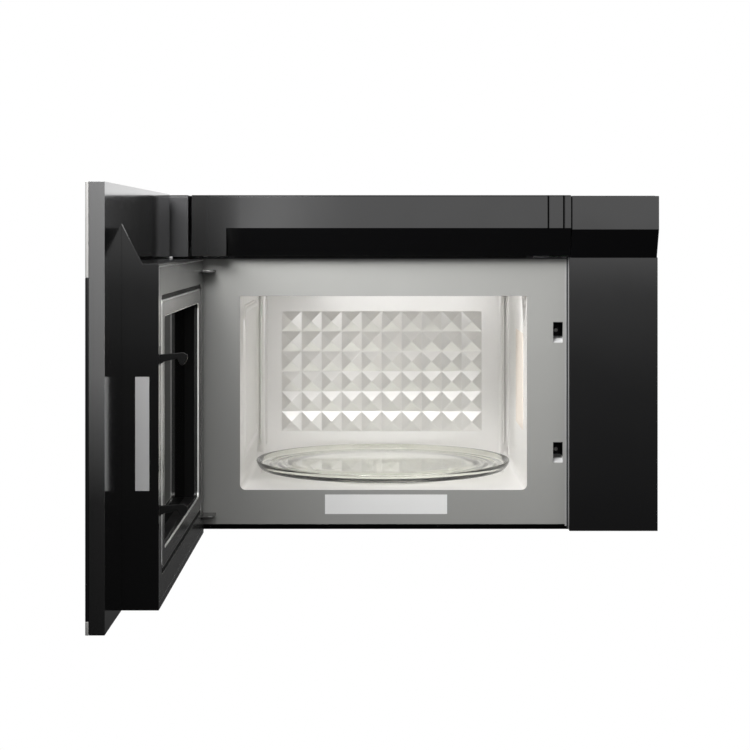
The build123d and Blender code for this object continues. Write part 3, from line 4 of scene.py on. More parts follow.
import bmesh
import bpy
import numpy as np
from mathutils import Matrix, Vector


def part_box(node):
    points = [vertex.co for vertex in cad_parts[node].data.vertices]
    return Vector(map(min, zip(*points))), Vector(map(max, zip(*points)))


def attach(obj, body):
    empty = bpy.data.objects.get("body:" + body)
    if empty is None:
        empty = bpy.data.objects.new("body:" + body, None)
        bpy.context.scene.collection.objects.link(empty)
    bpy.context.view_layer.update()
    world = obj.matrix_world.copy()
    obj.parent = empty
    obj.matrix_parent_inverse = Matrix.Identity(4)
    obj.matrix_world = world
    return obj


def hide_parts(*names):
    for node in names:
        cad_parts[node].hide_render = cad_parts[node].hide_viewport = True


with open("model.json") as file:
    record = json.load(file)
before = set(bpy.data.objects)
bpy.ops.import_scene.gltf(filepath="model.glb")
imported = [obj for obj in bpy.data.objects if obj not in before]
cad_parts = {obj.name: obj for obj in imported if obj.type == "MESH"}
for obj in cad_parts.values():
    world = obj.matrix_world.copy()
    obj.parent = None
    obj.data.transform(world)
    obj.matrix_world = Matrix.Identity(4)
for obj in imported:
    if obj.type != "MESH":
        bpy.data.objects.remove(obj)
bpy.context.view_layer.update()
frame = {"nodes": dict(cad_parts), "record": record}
nodes = frame["nodes"]
scene = bpy.context.scene
scene.view_settings.view_transform = "Standard"
mm = 0.001
print("frame loaded:", len(nodes), "nodes")


# camera, light, floor

cameraValues = {
    "place": (-0.0487, -2.705, 0.1601),   # level with the vent band, 2.3 m before the oven face
    "lens": 87.83,
    "sensor": 36,
    "shiftY": -0.1867,
    "tilt": 90,                           # degrees from looking straight down
    "reach": 60,
}


def makeCamera(values):
    data = bpy.data.cameras.new("camera")
    data.lens = values["lens"]
    data.sensor_width = values["sensor"]
    data.shift_y = values["shiftY"]
    data.clip_end = values["reach"]
    camera = bpy.data.objects.new("camera", data)
    camera.location = values["place"]
    camera.rotation_euler = (radians(values["tilt"]), 0, 0)
    scene.collection.objects.link(camera)
    scene.camera = camera


skyValues = {
    # height of a direction (its Z), and how bright the studio is there
    "glossSteps": ((-0.30, 0.02), (-0.16, 0.12), (-0.12, 0.19), (-0.08, 0.28), (-0.035, 0.66), (0.004, 2.0),
                   (0.5, 1.7), (1.0, 1.2)),
    "fillSteps": ((-0.5, 0.10), (0.0, 0.20), (1.0, 0.38)),
    # between two values of a direction's Y, the mirrored sky falls from the first level to the second
    "wallSide": (-0.2, 0.2, 1.0, 0.62),
    # the X of a direction, and what the mirrored sky is multiplied by there
    "sideSteps": ((-1.0, 0.5), (-0.13, 0.55), (-0.09, 0.6), (-0.066, 1.55), (-0.05, 1.55), (-0.012, 1.0),
                  (1.0, 1.0)),
}


def stepRamp(tree, steps, name):
    # A colour ramp over heights from -1 to 1, one grey per step, divided by the top value.
    ramp = tree.nodes.new("ShaderNodeValToRGB")
    ramp.name = name
    ramp.color_ramp.interpolation = "EASE"
    top = max(level for _, level in steps)
    stops = ramp.color_ramp.elements
    while len(stops) < len(steps):
        stops.new(0.5)
    for stop, (height, level) in zip(stops, steps):
        stop.position = (height + 1) / 2
        stop.color = (level / top, level / top, level / top, 1)
    return ramp, top


def makeSky(values):
    world = bpy.data.worlds.new("studio")
    scene.world = world
    world.use_nodes = True
    tree = world.node_tree
    tree.nodes.clear()
    output = tree.nodes.new("ShaderNodeOutputWorld")
    coords = tree.nodes.new("ShaderNodeTexCoord")
    split = tree.nodes.new("ShaderNodeSeparateXYZ")
    height = tree.nodes.new("ShaderNodeMapRange")
    height.inputs["From Min"].default_value = -1
    tree.links.new(coords.outputs["Generated"], split.inputs[0])
    tree.links.new(split.outputs["Z"], height.inputs["Value"])
    path = tree.nodes.new("ShaderNodeLightPath")
    shaders = []
    for name in ("fillSteps", "glossSteps"):
        ramp, top = stepRamp(tree, values[name], name)
        tree.links.new(height.outputs["Result"], ramp.inputs["Fac"])
        light = tree.nodes.new("ShaderNodeBackground")
        light.inputs["Strength"].default_value = top
        tree.links.new(ramp.outputs["Color"], light.inputs["Color"])
        shaders.append(light)
    # the mirrored sky's strength: its top level, times the wall side's share, times the ramp over X
    wallSide = tree.nodes.new("ShaderNodeMapRange")
    for socket, value in zip(("From Min", "From Max", "To Min", "To Max"), values["wallSide"]):
        wallSide.inputs[socket].default_value = value
    tree.links.new(split.outputs["Y"], wallSide.inputs["Value"])
    across = tree.nodes.new("ShaderNodeMapRange")
    across.inputs["From Min"].default_value = -1
    tree.links.new(split.outputs["X"], across.inputs["Value"])
    sides, sideTop = stepRamp(tree, values["sideSteps"], "sideSteps")
    tree.links.new(across.outputs["Result"], sides.inputs["Fac"])
    share = tree.nodes.new("ShaderNodeMath")
    share.operation = "MULTIPLY"
    tree.links.new(wallSide.outputs["Result"], share.inputs[0])
    tree.links.new(sides.outputs["Color"], share.inputs[1])
    strength = tree.nodes.new("ShaderNodeMath")
    strength.operation = "MULTIPLY"
    strength.inputs[1].default_value = top * sideTop
    tree.links.new(share.outputs[0], strength.inputs[0])
    tree.links.new(strength.outputs[0], shaders[1].inputs["Strength"])
    white = tree.nodes.new("ShaderNodeBackground")
    white.inputs["Color"].default_value = (1, 1, 1, 1)
    glossMix = tree.nodes.new("ShaderNodeMixShader")
    tree.links.new(path.outputs["Is Glossy Ray"], glossMix.inputs[0])
    tree.links.new(shaders[0].outputs[0], glossMix.inputs[1])
    tree.links.new(shaders[1].outputs[0], glossMix.inputs[2])
    seen = tree.nodes.new("ShaderNodeMath")
    seen.operation = "MAXIMUM"
    tree.links.new(path.outputs["Is Camera Ray"], seen.inputs[0])
    tree.links.new(path.outputs["Is Transmission Ray"], seen.inputs[1])
    lastMix = tree.nodes.new("ShaderNodeMixShader")
    tree.links.new(seen.outputs[0], lastMix.inputs[0])
    tree.links.new(glossMix.outputs[0], lastMix.inputs[1])
    tree.links.new(white.outputs[0], lastMix.inputs[2])
    tree.links.new(lastMix.outputs[0], output.inputs[0])


lampValues = {
    # name: (place, aim, width, depth, watts)
    "overhead": ((0.75, -1.0, 1.3), (0.15, -0.4, 0.0), 0.8, 0.8, 9),
    "nearFront": ((-0.50, -1.0, 0.53), (0.02, -0.4, 0.0), 0.86, 0.3, 17),
    "cavityLight": ((0.0, -0.33, 0.076), (-0.02, -0.10, -0.14), 0.30, 0.08, 0.34),
}


def makeLamps(values):
    # Rectangular soft lamps, each turned so that its -Z looks at the point it is aimed at.
    for name, (place, aim, width, depth, watts) in values.items():
        data = bpy.data.lights.new(name, "AREA")
        data.shape = "RECTANGLE"
        data.size, data.size_y = width, depth
        data.energy = watts
        lamp = bpy.data.objects.new(name, data)
        lamp.location = place
        way = Vector(aim) - Vector(place)
        lamp.rotation_euler = way.to_track_quat("-Z", "Y").to_euler()
        scene.collection.objects.link(lamp)
    for name in ("cavityLight", "nearFront"):
        bpy.data.objects[name].visible_camera = False


floorValues = {"drop": 1.4, "size": 8.0, "reflected": 0.04}


def makeFloor(values):
    low = -values["drop"]
    half = values["size"] / 2
    corners = [(-half, -half, low), (half, -half, low), (half, half, low), (-half, half, low)]
    mesh = bpy.data.meshes.new("floor")
    mesh.from_pydata(corners, [], [(0, 1, 2, 3)])
    floor = bpy.data.objects.new("floor", mesh)
    scene.collection.objects.link(floor)
    material = bpy.data.materials.new("paleFloor")
    material.use_nodes = True
    tree = material.node_tree
    tree.nodes.clear()
    output = tree.nodes.new("ShaderNodeOutputMaterial")
    path = tree.nodes.new("ShaderNodeLightPath")
    seen = tree.nodes.new("ShaderNodeMath")
    seen.operation = "MAXIMUM"
    tree.links.new(path.outputs["Is Camera Ray"], seen.inputs[0])
    tree.links.new(path.outputs["Is Transmission Ray"], seen.inputs[1])
    matt = tree.nodes.new("ShaderNodeBsdfDiffuse")
    level = values["reflected"]
    matt.inputs["Color"].default_value = (level, level, level, 1)
    glow = tree.nodes.new("ShaderNodeEmission")
    glow.inputs["Color"].default_value = (1, 1, 1, 1)
    mix = tree.nodes.new("ShaderNodeMixShader")
    tree.links.new(seen.outputs[0], mix.inputs[0])
    tree.links.new(matt.outputs[0], mix.inputs[1])
    tree.links.new(glow.outputs[0], mix.inputs[2])
    tree.links.new(mix.outputs[0], output.inputs[0])
    mesh.materials.append(material)


makeCamera(cameraValues)
makeSky(skyValues)
makeLamps(lampValues)
makeFloor(floorValues)
print("camera, sky, lamps and floor made")


# shared shader groups

def newGroup(name, inputs, outputs):
    # An empty node group: inputs are (name, kind, value), outputs are (name, kind).
    tree = bpy.data.node_groups.new(name, "ShaderNodeTree")
    for label, kind, value in inputs:
        socket = tree.interface.new_socket(label, in_out="INPUT", socket_type=kind)
        if value is not None:
            socket.default_value = value
    for label, kind in outputs:
        tree.interface.new_socket(label, in_out="OUTPUT", socket_type=kind)
    return tree, tree.nodes.new("NodeGroupInput"), tree.nodes.new("NodeGroupOutput")


grainValues = {"grainDetail": 3, "smudgeDetail": 5, "smudgeTwist": 0.6, "smudgeSpan": (0.3, 0.72)}


def makeGrainGroup(values):
    # Fine grain for bumps, and broad smudges that move the roughness between two values.
    tree, given, result = newGroup(
        "grainAndSmudge",
        [("Vector", "NodeSocketVector", None), ("Grain Scale", "NodeSocketFloat", 900.0),
         ("Smudge Scale", "NodeSocketFloat", 9.0), ("Rough Low", "NodeSocketFloat", 0.2),
         ("Rough High", "NodeSocketFloat", 0.35)],
        [("Roughness", "NodeSocketFloat"), ("Height", "NodeSocketFloat"), ("Smudge", "NodeSocketFloat")])
    grain = tree.nodes.new("ShaderNodeTexNoise")
    grain.inputs["Detail"].default_value = values["grainDetail"]
    smudge = tree.nodes.new("ShaderNodeTexNoise")
    smudge.inputs["Detail"].default_value = values["smudgeDetail"]
    smudge.inputs["Distortion"].default_value = values["smudgeTwist"]
    spread = tree.nodes.new("ShaderNodeMapRange")
    for socket, value in zip(("From Min", "From Max"), values["smudgeSpan"]):
        spread.inputs[socket].default_value = value
    links = tree.links
    links.new(given.outputs["Vector"], grain.inputs["Vector"])
    links.new(given.outputs["Grain Scale"], grain.inputs["Scale"])
    links.new(given.outputs["Vector"], smudge.inputs["Vector"])
    links.new(given.outputs["Smudge Scale"], smudge.inputs["Scale"])
    links.new(smudge.outputs["Fac"], spread.inputs["Value"])
    links.new(given.outputs["Rough Low"], spread.inputs["To Min"])
    links.new(given.outputs["Rough High"], spread.inputs["To Max"])
    links.new(spread.outputs["Result"], result.inputs["Roughness"])
    links.new(grain.outputs["Fac"], result.inputs["Height"])
    links.new(smudge.outputs["Fac"], result.inputs["Smudge"])
    return tree


def makeBrushGroup():
    # Fine parallel lines: noise squeezed hard across one direction of the coordinates.
    tree, given, result = newGroup(
        "brushedLines",
        [("Vector", "NodeSocketVector", None), ("Squeeze", "NodeSocketVector", (4.0, 4.0, 900.0))],
        [("Lines", "NodeSocketFloat")])
    squeeze = tree.nodes.new("ShaderNodeVectorMath")
    squeeze.operation = "MULTIPLY"
    lines = tree.nodes.new("ShaderNodeTexNoise")
    lines.inputs["Scale"].default_value = 1
    lines.inputs["Detail"].default_value = 4
    tree.links.new(given.outputs["Vector"], squeeze.inputs[0])
    tree.links.new(given.outputs["Squeeze"], squeeze.inputs[1])
    tree.links.new(squeeze.outputs[0], lines.inputs["Vector"])
    tree.links.new(lines.outputs["Fac"], result.inputs["Lines"])
    return tree


def makeTintGroup():
    # A colour moved a little darker or lighter by a mask, for uneven finishes.
    tree, given, result = newGroup(
        "unevenTint",
        [("Color", "NodeSocketColor", (0.5, 0.5, 0.5, 1)), ("Mask", "NodeSocketFloat", 0.5),
         ("Amount", "NodeSocketFloat", 0.06)],
        [("Color", "NodeSocketColor")])
    spread = tree.nodes.new("ShaderNodeMath")
    spread.operation = "SUBTRACT"
    spread.inputs[1].default_value = 0.5
    scaled = tree.nodes.new("ShaderNodeMath")
    scaled.operation = "MULTIPLY_ADD"
    scaled.inputs[2].default_value = 1
    tinted = tree.nodes.new("ShaderNodeVectorMath")
    tinted.operation = "SCALE"
    tree.links.new(given.outputs["Mask"], spread.inputs[0])
    tree.links.new(spread.outputs[0], scaled.inputs[0])
    tree.links.new(given.outputs["Amount"], scaled.inputs[1])
    tree.links.new(given.outputs["Color"], tinted.inputs[0])
    tree.links.new(scaled.outputs[0], tinted.inputs["Scale"])
    tree.links.new(tinted.outputs[0], result.inputs["Color"])
    return tree


def makeSlabGroup():
    # 1 inside an upright box given by its low and high corners, falling to 0 over 1 / Sharpness each way.
    tree, given, result = newGroup(
        "slabMask",
        [("Vector", "NodeSocketVector", None), ("Low", "NodeSocketVector", (-1, -1, -1)),
         ("High", "NodeSocketVector", (1, 1, 1)), ("Sharpness", "NodeSocketVector", (5000, 5000, 5000))],
        [("Mask", "NodeSocketFloat")])

    def vectorStep(operation, first, second):
        step = tree.nodes.new("ShaderNodeVectorMath")
        step.operation = operation
        for socket, value in zip(step.inputs, (first, second)):
            if isinstance(value, tuple):
                socket.default_value = value
            else:
                tree.links.new(value, socket)
        return step.outputs[0]

    sides = []
    for first, second in (("Vector", "Low"), ("High", "Vector")):
        reach = vectorStep("SUBTRACT", given.outputs[first], given.outputs[second])
        scaled = vectorStep("MULTIPLY", reach, given.outputs["Sharpness"])
        capped = vectorStep("MINIMUM", scaled, (1.0, 1.0, 1.0))
        sides.append(vectorStep("MAXIMUM", capped, (0.0, 0.0, 0.0)))
    split = tree.nodes.new("ShaderNodeSeparateXYZ")
    tree.links.new(vectorStep("MULTIPLY", *sides), split.inputs[0])
    flat = tree.nodes.new("ShaderNodeMath")
    flat.operation = "MULTIPLY"
    mask = tree.nodes.new("ShaderNodeMath")
    mask.operation = "MULTIPLY"
    tree.links.new(split.outputs["X"], flat.inputs[0])
    tree.links.new(split.outputs["Y"], flat.inputs[1])
    tree.links.new(flat.outputs[0], mask.inputs[0])
    tree.links.new(split.outputs["Z"], mask.inputs[1])
    tree.links.new(mask.outputs[0], result.inputs["Mask"])
    return tree


grainGroup = makeGrainGroup(grainValues)
slabGroup = makeSlabGroup()
brushGroup = makeBrushGroup()
tintGroup = makeTintGroup()


# materials

bumpDepth = {"grain": 0.2 * mm, "brushed": 0.1 * mm}
thinGlassTint = (0.985, 0.99, 0.985, 1)


def startMaterial(name):
    material = bpy.data.materials.new(name)
    material.use_nodes = True
    tree = material.node_tree
    shader = tree.nodes["Principled BSDF"]
    coords = tree.nodes.new("ShaderNodeTexCoord")
    return material, tree, shader, coords.outputs["Object"]


def placeGroup(tree, group, vector=None, **values):
    node = tree.nodes.new("ShaderNodeGroup")
    node.node_tree = group
    if vector is not None:
        tree.links.new(vector, node.inputs["Vector"])
    for label, value in values.items():
        node.inputs[label.replace("_", " ")].default_value = value
    return node


def addBump(tree, shader, height, strength, distance):
    bump = tree.nodes.new("ShaderNodeBump")
    bump.inputs["Strength"].default_value = strength
    bump.inputs["Distance"].default_value = distance
    tree.links.new(height, bump.inputs["Height"])
    tree.links.new(bump.outputs["Normal"], shader.inputs["Normal"])
    return bump


def plainFinish(name, colour, rough, metal=0.0, grain=900.0, bump=0.06, uneven=0.08, coat=0.0, shine=0.5):
    # Paint, moulded plastic or sheet metal: grain in the bump, smudges in roughness and tint.
    material, tree, shader, place = startMaterial(name)
    surface = placeGroup(tree, grainGroup, place, Grain_Scale=grain, Rough_Low=rough[0], Rough_High=rough[1])
    tint = placeGroup(tree, tintGroup, Color=(*colour, 1), Amount=uneven)
    tree.links.new(surface.outputs["Smudge"], tint.inputs["Mask"])
    tree.links.new(tint.outputs["Color"], shader.inputs["Base Color"])
    tree.links.new(surface.outputs["Roughness"], shader.inputs["Roughness"])
    shader.inputs["Metallic"].default_value = metal
    shader.inputs["Coat Weight"].default_value = coat
    shader.inputs["Coat Roughness"].default_value = rough[1]
    shader.inputs["Specular IOR Level"].default_value = shine
    addBump(tree, shader, surface.outputs["Height"], bump, bumpDepth["grain"])
    return material


def brushedFinish(name, colour, rough, squeeze, bump=0.08, uneven=0.12):
    # Metal with lines along one direction, in its tint, roughness and bump.
    material, tree, shader, place = startMaterial(name)
    lines = placeGroup(tree, brushGroup, place, Squeeze=squeeze)
    tint = placeGroup(tree, tintGroup, Color=(*colour, 1), Amount=uneven)
    tree.links.new(lines.outputs["Lines"], tint.inputs["Mask"])
    tree.links.new(tint.outputs["Color"], shader.inputs["Base Color"])
    spread = tree.nodes.new("ShaderNodeMapRange")
    spread.inputs["To Min"].default_value = rough[0]
    spread.inputs["To Max"].default_value = rough[1]
    tree.links.new(lines.outputs["Lines"], spread.inputs["Value"])
    tree.links.new(spread.outputs["Result"], shader.inputs["Roughness"])
    shader.inputs["Metallic"].default_value = 1
    addBump(tree, shader, lines.outputs["Lines"], bump, bumpDepth["brushed"])
    return material


def glassFinish(name, colour, rough, ior=1.5, solid=0.0, thin=False):
    # Clear or tinted glass, with faint wipe marks in its roughness. Thin glass lets light and
    # soft bounces straight through, so that it throws no bright spots.
    material, tree, shader, place = startMaterial(name)
    surface = placeGroup(tree, grainGroup, place, Grain_Scale=300.0, Rough_Low=rough[0], Rough_High=rough[1])
    shader.inputs["Base Color"].default_value = (*colour, 1)
    tree.links.new(surface.outputs["Roughness"], shader.inputs["Roughness"])
    shader.inputs["IOR"].default_value = ior
    shader.inputs["Transmission Weight"].default_value = 1 - solid
    if thin:
        path = tree.nodes.new("ShaderNodeLightPath")
        passing = tree.nodes.new("ShaderNodeMath")
        passing.operation = "MAXIMUM"
        through = tree.nodes.new("ShaderNodeBsdfTransparent")
        through.inputs["Color"].default_value = thinGlassTint
        mix = tree.nodes.new("ShaderNodeMixShader")
        tree.links.new(path.outputs["Is Shadow Ray"], passing.inputs[0])
        tree.links.new(path.outputs["Is Diffuse Ray"], passing.inputs[1])
        tree.links.new(passing.outputs[0], mix.inputs[0])
        tree.links.new(shader.outputs[0], mix.inputs[1])
        tree.links.new(through.outputs[0], mix.inputs[2])
        tree.links.new(mix.outputs[0], tree.nodes["Material Output"].inputs[0])
    return material


finishes = {
    "case_paint": plainFinish("caseBlackPaint", (0.022, 0.022, 0.024), (0.42, 0.47), grain=700, bump=0.12),
    "zinc": plainFinish("zincSheet", (0.58, 0.59, 0.60), (0.38, 0.43),
                        metal=1, grain=160, bump=0.05, uneven=0.10),
    "face_paint": plainFinish("faceGreyPaint", (0.31, 0.31, 0.297), (0.34, 0.44), grain=1400, bump=0.05),
    "cavity_enamel": plainFinish("cavityEnamel", (0.85, 0.838, 0.822), (0.29, 0.36),
                                 metal=0.35, grain=220, bump=0.02),
    "nose_plastic": plainFinish("noseGlossBlack", (0.0035, 0.0035, 0.0038), (0.04, 0.10),
                                grain=1200, bump=0.01),
    "door_plastic": plainFinish("doorGlossBlack", (0.003, 0.003, 0.0032), (0.03, 0.07),
                                grain=1200, bump=0.008),
    "panel_gloss": plainFinish("panelGlossBlack", (0.003, 0.003, 0.0032), (0.07, 0.12),
                               grain=1200, bump=0.008, coat=0.3),
    "cap_satin": plainFinish("capSatinBlack", (0.012, 0.012, 0.013), (0.28, 0.34), grain=1200, bump=0.02),
    "choke_plastic": plainFinish("chokeMattBlack", (0.004, 0.004, 0.004), (0.5, 0.62),
                                 grain=900, bump=0.1, shine=0.1),
    "latch_plastic": plainFinish("latchBlackNylon", (0.004, 0.004, 0.004), (0.5, 0.6),
                                 grain=900, bump=0.1, shine=0.12),
    "seal_steel": plainFinish("sealSatinSteel", (0.115, 0.115, 0.112), (0.20, 0.265),
                              metal=0.8, grain=1500, bump=0.01, shine=0.3),
    "bare_steel": plainFinish("bareEdgeSteel", (0.86, 0.86, 0.85), (0.28, 0.34),
                              metal=1, grain=1500, bump=0.01),
    "stainless": brushedFinish("brushedStainless", (0.62, 0.615, 0.60), (0.28, 0.38), (3, 3, 1400)),
    "black_glass": plainFinish("blackDoorGlass", (0.004, 0.004, 0.0045), (0.01, 0.04), grain=200, bump=0.0),
    "dark_pane": plainFinish("darkWindowPane", (0.0025, 0.0025, 0.0025), (0.02, 0.05),
                             grain=200, bump=0.0, shine=0.012),
    "screen": plainFinish("blackScreen", (0.01, 0.01, 0.01), (0.4, 0.5)),
    "clear_glass": glassFinish("trayGlass", (0.88, 0.895, 0.83), (0.01, 0.05), thin=True),
    "lens": glassFinish("frostedLens", (0.92, 0.92, 0.90), (0.28, 0.36), solid=0.3),
    "mica": plainFinish("micaSheet", (0.78, 0.70, 0.62), (0.3, 0.5), grain=120, bump=0.08, uneven=0.25),
    "roller_plastic": plainFinish("paleRollerPlastic", (0.72, 0.71, 0.68), (0.35, 0.45)),
    "motor_metal": plainFinish("plainMotorMetal", (0.45, 0.45, 0.46), (0.3, 0.45), metal=1),
    "copper_steel": plainFinish("laminatedSteel", (0.26, 0.16, 0.10), (0.4, 0.55), metal=0.7),
    "board": plainFinish("circuitBoard", (0.03, 0.11, 0.045), (0.35, 0.5)),
    "filter_mesh": plainFinish("filterAluminium", (0.66, 0.67, 0.68), (0.3, 0.42), metal=1),
    "charcoal": plainFinish("charcoalGranules", (0.02, 0.02, 0.02), (0.7, 0.9), grain=350, bump=0.8),
    "legend_print": plainFinish("paleLegendPrint", (0.62, 0.62, 0.62), (0.4, 0.5)),
    "display_glass": plainFinish("darkDisplayGlass", (0.012, 0.016, 0.018), (0.05, 0.09),
                                 grain=200, bump=0.0),
    "label_paper": plainFinish("blankLabelPaper", (0.88, 0.88, 0.87), (0.42, 0.52), grain=2500, bump=0.04),
    "sticker_paper": plainFinish("blankStickerPaper", (0.58, 0.58, 0.58), (0.42, 0.52),
                                 grain=2500, bump=0.04),
    "rubber": plainFinish("grommetRubber", (0.02, 0.02, 0.02), (0.55, 0.7), bump=0.15),
    "lamp_glass": plainFinish("lampHolder", (0.75, 0.73, 0.66), (0.3, 0.4)),
    "spring_steel": plainFinish("springWire", (0.5, 0.5, 0.5), (0.28, 0.36), metal=1),
}


ownFinish = {"door_choke": "choke_plastic", "door_panel": "panel_gloss", "vent_end_cap": "cap_satin",
             "door_sticker": "sticker_paper", "hinge_plates": "seal_steel"}

# parts of a node with values of their own, a few a finish and most painted light and shade: low and high
# corner in mm (None where the zone has no end), then colour, roughness and metallic inside it, and at times
# how sharply it ends
zones = {
    "door_panel": [
        ((None, None, None), (None, -1005.3, None), 0.20, 0.26, 0.9),        # free end in satin metal, with painted shade darkening it low down
        ((None, None, None), (None, -1005.3, 30.0), 0.035, 0.26, 0.9, (5000, 5000, 8.5)),
        ((None, -467.0, 131.2), (None, -414.0, 132.3), 0.001, 0.95, 0.0)],   # ledge at the hinge
    "door_seal_plate": [                                                     # four sheared edges in bare steel, lightened further as painted highlights, most on the top and free end
        ((None, None, None), (None, -887.4, None), 0.80, 0.28, 1.0),
        ((None, -420.6, None), (None, None, None), 0.60, 0.28, 1.0),
        ((None, None, None), (None, None, -204.2), 0.60, 0.28, 1.0),
        ((None, None, 127.9), (None, None, None), 0.80, 0.28, 1.0)],
    "oven_front_frame": [
        ((None, None, None), (None, None, -203.2), 0.003, 0.5, 1.0),         # lapped foot, painted dead black as shade
        ((189.6, None, None), (None, None, None), 0.36, 0.36, 0.0)],         # painted light: the lit side, lighter
    "vent_top_band": [
        ((164.9, None, 168.0), (167.1, None, None), 0.001, 0.8, 1.0),        # two grooves, painted dead black as shade
        ((184.1, None, 168.0), (186.4, None, None), 0.001, 0.8, 1.0),
        ((None, None, None), (-215.0, None, None), 0.018, 0.3, 1.0, (22, 22, 22))],   # painted dark reflection of the open door near the hinge, in satin
    "column_cover": [
        ((None, -416.0, None), (194.6, None, None), 0.30, 0.4, 0.0)],        # painted light on the lit inner edge
    "base_plate": [
        ((None, None, None), (None, -403.0, None), 0.002, 0.55, 1.0)],       # front lip, painted dead black as shade
    "latch_board": [                                                         # two ledges painted pale as light falling on them
        ((None, None, 24.0), (None, -375.0, 32.0), 0.6, 0.4, 0.0),
        ((None, None, -126.9), (None, -375.0, -118.0), 0.6, 0.4, 0.0)],
}
noEnd = 9.0                               # metres, past every piece


def addZone(material, low, high, grey, rough, metal, sharpness=(5000, 5000, 5000)):
    # Inside the slab, the colour, roughness and metallic of a material give way to other values.
    tree = material.node_tree
    shader = tree.nodes["Principled BSDF"]
    place = next(node for node in tree.nodes if node.type == "TEX_COORD").outputs["Object"]
    mask = placeGroup(tree, slabGroup, place,
                      Low=tuple(-noEnd if value is None else value * mm for value in low),
                      High=tuple(noEnd if value is None else value * mm for value in high),
                      Sharpness=sharpness)
    changes = [("Base Color", (grey, grey, grey, 1)), ("Roughness", rough), ("Metallic", metal)]
    if shader.inputs["Coat Weight"].default_value:
        changes.append(("Coat Weight", 0.0))
    for label, value in changes:
        socket = shader.inputs[label]
        mix = tree.nodes.new("ShaderNodeMix")
        mix.data_type = "RGBA" if label == "Base Color" else "FLOAT"
        first, second, result = (6, 7, 2) if label == "Base Color" else (2, 3, 0)
        if socket.links:
            tree.links.new(socket.links[0].from_socket, mix.inputs[first])
        else:
            mix.inputs[first].default_value = socket.default_value
        mix.inputs[second].default_value = value
        tree.links.new(mask.outputs[0], mix.inputs[0])
        tree.links.new(mix.outputs[result], socket)


def dressNodes():
    # Each CAD node takes the finish of its material slot, or its own, with its zones of other finish and of
    # painted light and shade.
    slotOf = {part["node"]: part["material_slot"] for part in frame["record"]["subparts"]}
    for name, node in nodes.items():
        finish = finishes[ownFinish.get(name, slotOf[name])]
        if name in zones:
            finish = finish.copy()
            finish.name = name + "Finish"
            for zone in zones[name]:
                addZone(finish, *zone)
        for index in range(len(node.material_slots)):
            node.material_slots[index].material = finish
        if not node.material_slots:
            node.data.materials.append(finish)


dressNodes()
print("materials made:", len(finishes))


# soft edges on the CAD nodes

edgeRules = {
    # degrees: edges past the first stay sharp, faces within the second join
    "sharpAngle": 24, "flatAngle": 0.5,
    "sameSpot": 0.01 * mm, "faceWeight": 100,
}


def makeSmoothGroup():
    # Smooth shading everywhere but on edges sharper than an angle.
    tree = bpy.data.node_groups.new("smoothByAngle", "GeometryNodeTree")
    tree.interface.new_socket("Geometry", in_out="INPUT", socket_type="NodeSocketGeometry")
    tree.interface.new_socket("Geometry", in_out="OUTPUT", socket_type="NodeSocketGeometry")
    given = tree.nodes.new("NodeGroupInput")
    result = tree.nodes.new("NodeGroupOutput")
    angle = tree.nodes.new("GeometryNodeInputMeshEdgeAngle")
    sharp = tree.nodes.new("FunctionNodeCompare")
    sharp.data_type = "FLOAT"
    sharp.operation = "LESS_THAN"
    sharp.inputs["B"].default_value = radians(edgeRules["sharpAngle"])
    edges = tree.nodes.new("GeometryNodeSetShadeSmooth")
    edges.domain = "EDGE"
    faces = tree.nodes.new("GeometryNodeSetShadeSmooth")
    faces.domain = "FACE"
    tree.links.new(angle.outputs["Unsigned Angle"], sharp.inputs["A"])
    tree.links.new(given.outputs[0], faces.inputs["Geometry"])
    tree.links.new(faces.outputs[0], edges.inputs["Geometry"])
    tree.links.new(sharp.outputs[0], edges.inputs["Shade Smooth"])
    tree.links.new(edges.outputs[0], result.inputs[0])
    return tree


smoothGroup = makeSmoothGroup()


def softenEdges(piece, width, segments=2, angle=edgeRules["sharpAngle"]):
    # Merge loose triangles, join flat faces, round the edges, and smooth the shading.
    weld = piece.modifiers.new("weld", "WELD")
    weld.merge_threshold = edgeRules["sameSpot"]
    flat = piece.modifiers.new("flat", "DECIMATE")
    flat.decimate_type = "DISSOLVE"
    flat.angle_limit = radians(edgeRules["flatAngle"])
    if width:
        bevel = piece.modifiers.new("bevel", "BEVEL")
        bevel.width = width
        bevel.segments = segments
        bevel.limit_method = "ANGLE"
        bevel.angle_limit = radians(angle)
        bevel.use_clamp_overlap = True
    smooth = piece.modifiers.new("smooth", "NODES")
    smooth.node_group = smoothGroup
    normals = piece.modifiers.new("evenNormals", "WEIGHTED_NORMAL")
    normals.keep_sharp = True
    normals.weight = edgeRules["faceWeight"]


edgeWidths = {
    "vent_top_band": 0.35 * mm, "vent_end_cap": 0.6 * mm, "column_cover": 0.6 * mm, "door_panel": 0.6 * mm,
    "door_box": 0.4 * mm, "oven_front_frame": 0.25 * mm, "hinge_plates": 0.5 * mm, "door_glass": 0.5 * mm,
    "door_trims": 0.4 * mm, "latch_hooks": 0.5 * mm, "base_plate": 0.2 * mm, "door_seal_plate": 0.45 * mm,
    "case_wrap": 0.2 * mm, "cavity_liner": 0.3 * mm, "lamp_cover": 0.2 * mm,
}
for nodeName, node in nodes.items():
    softenEdges(node, edgeWidths.get(nodeName, 0))
print("edges softened on", len(edgeWidths), "nodes")


# pieces worked out with numpy

mergeDistance = 0.001 * mm


def gridFaces(rows, columns, closeRows=False, closeColumns=False):
    # Quads between neighbouring rows and columns of a grid, wrapped round where a way is closed.
    i = np.arange(rows if closeRows else rows - 1)
    j = np.arange(columns if closeColumns else columns - 1)
    i, j = (a.ravel() for a in np.meshgrid(i, j, indexing="ij"))
    nextI, nextJ = (i + 1) % rows, (j + 1) % columns
    corners = [(i, j), (nextI, j), (nextI, nextJ), (i, nextJ)]
    return np.stack([row * columns + column for row, column in corners], axis=1)


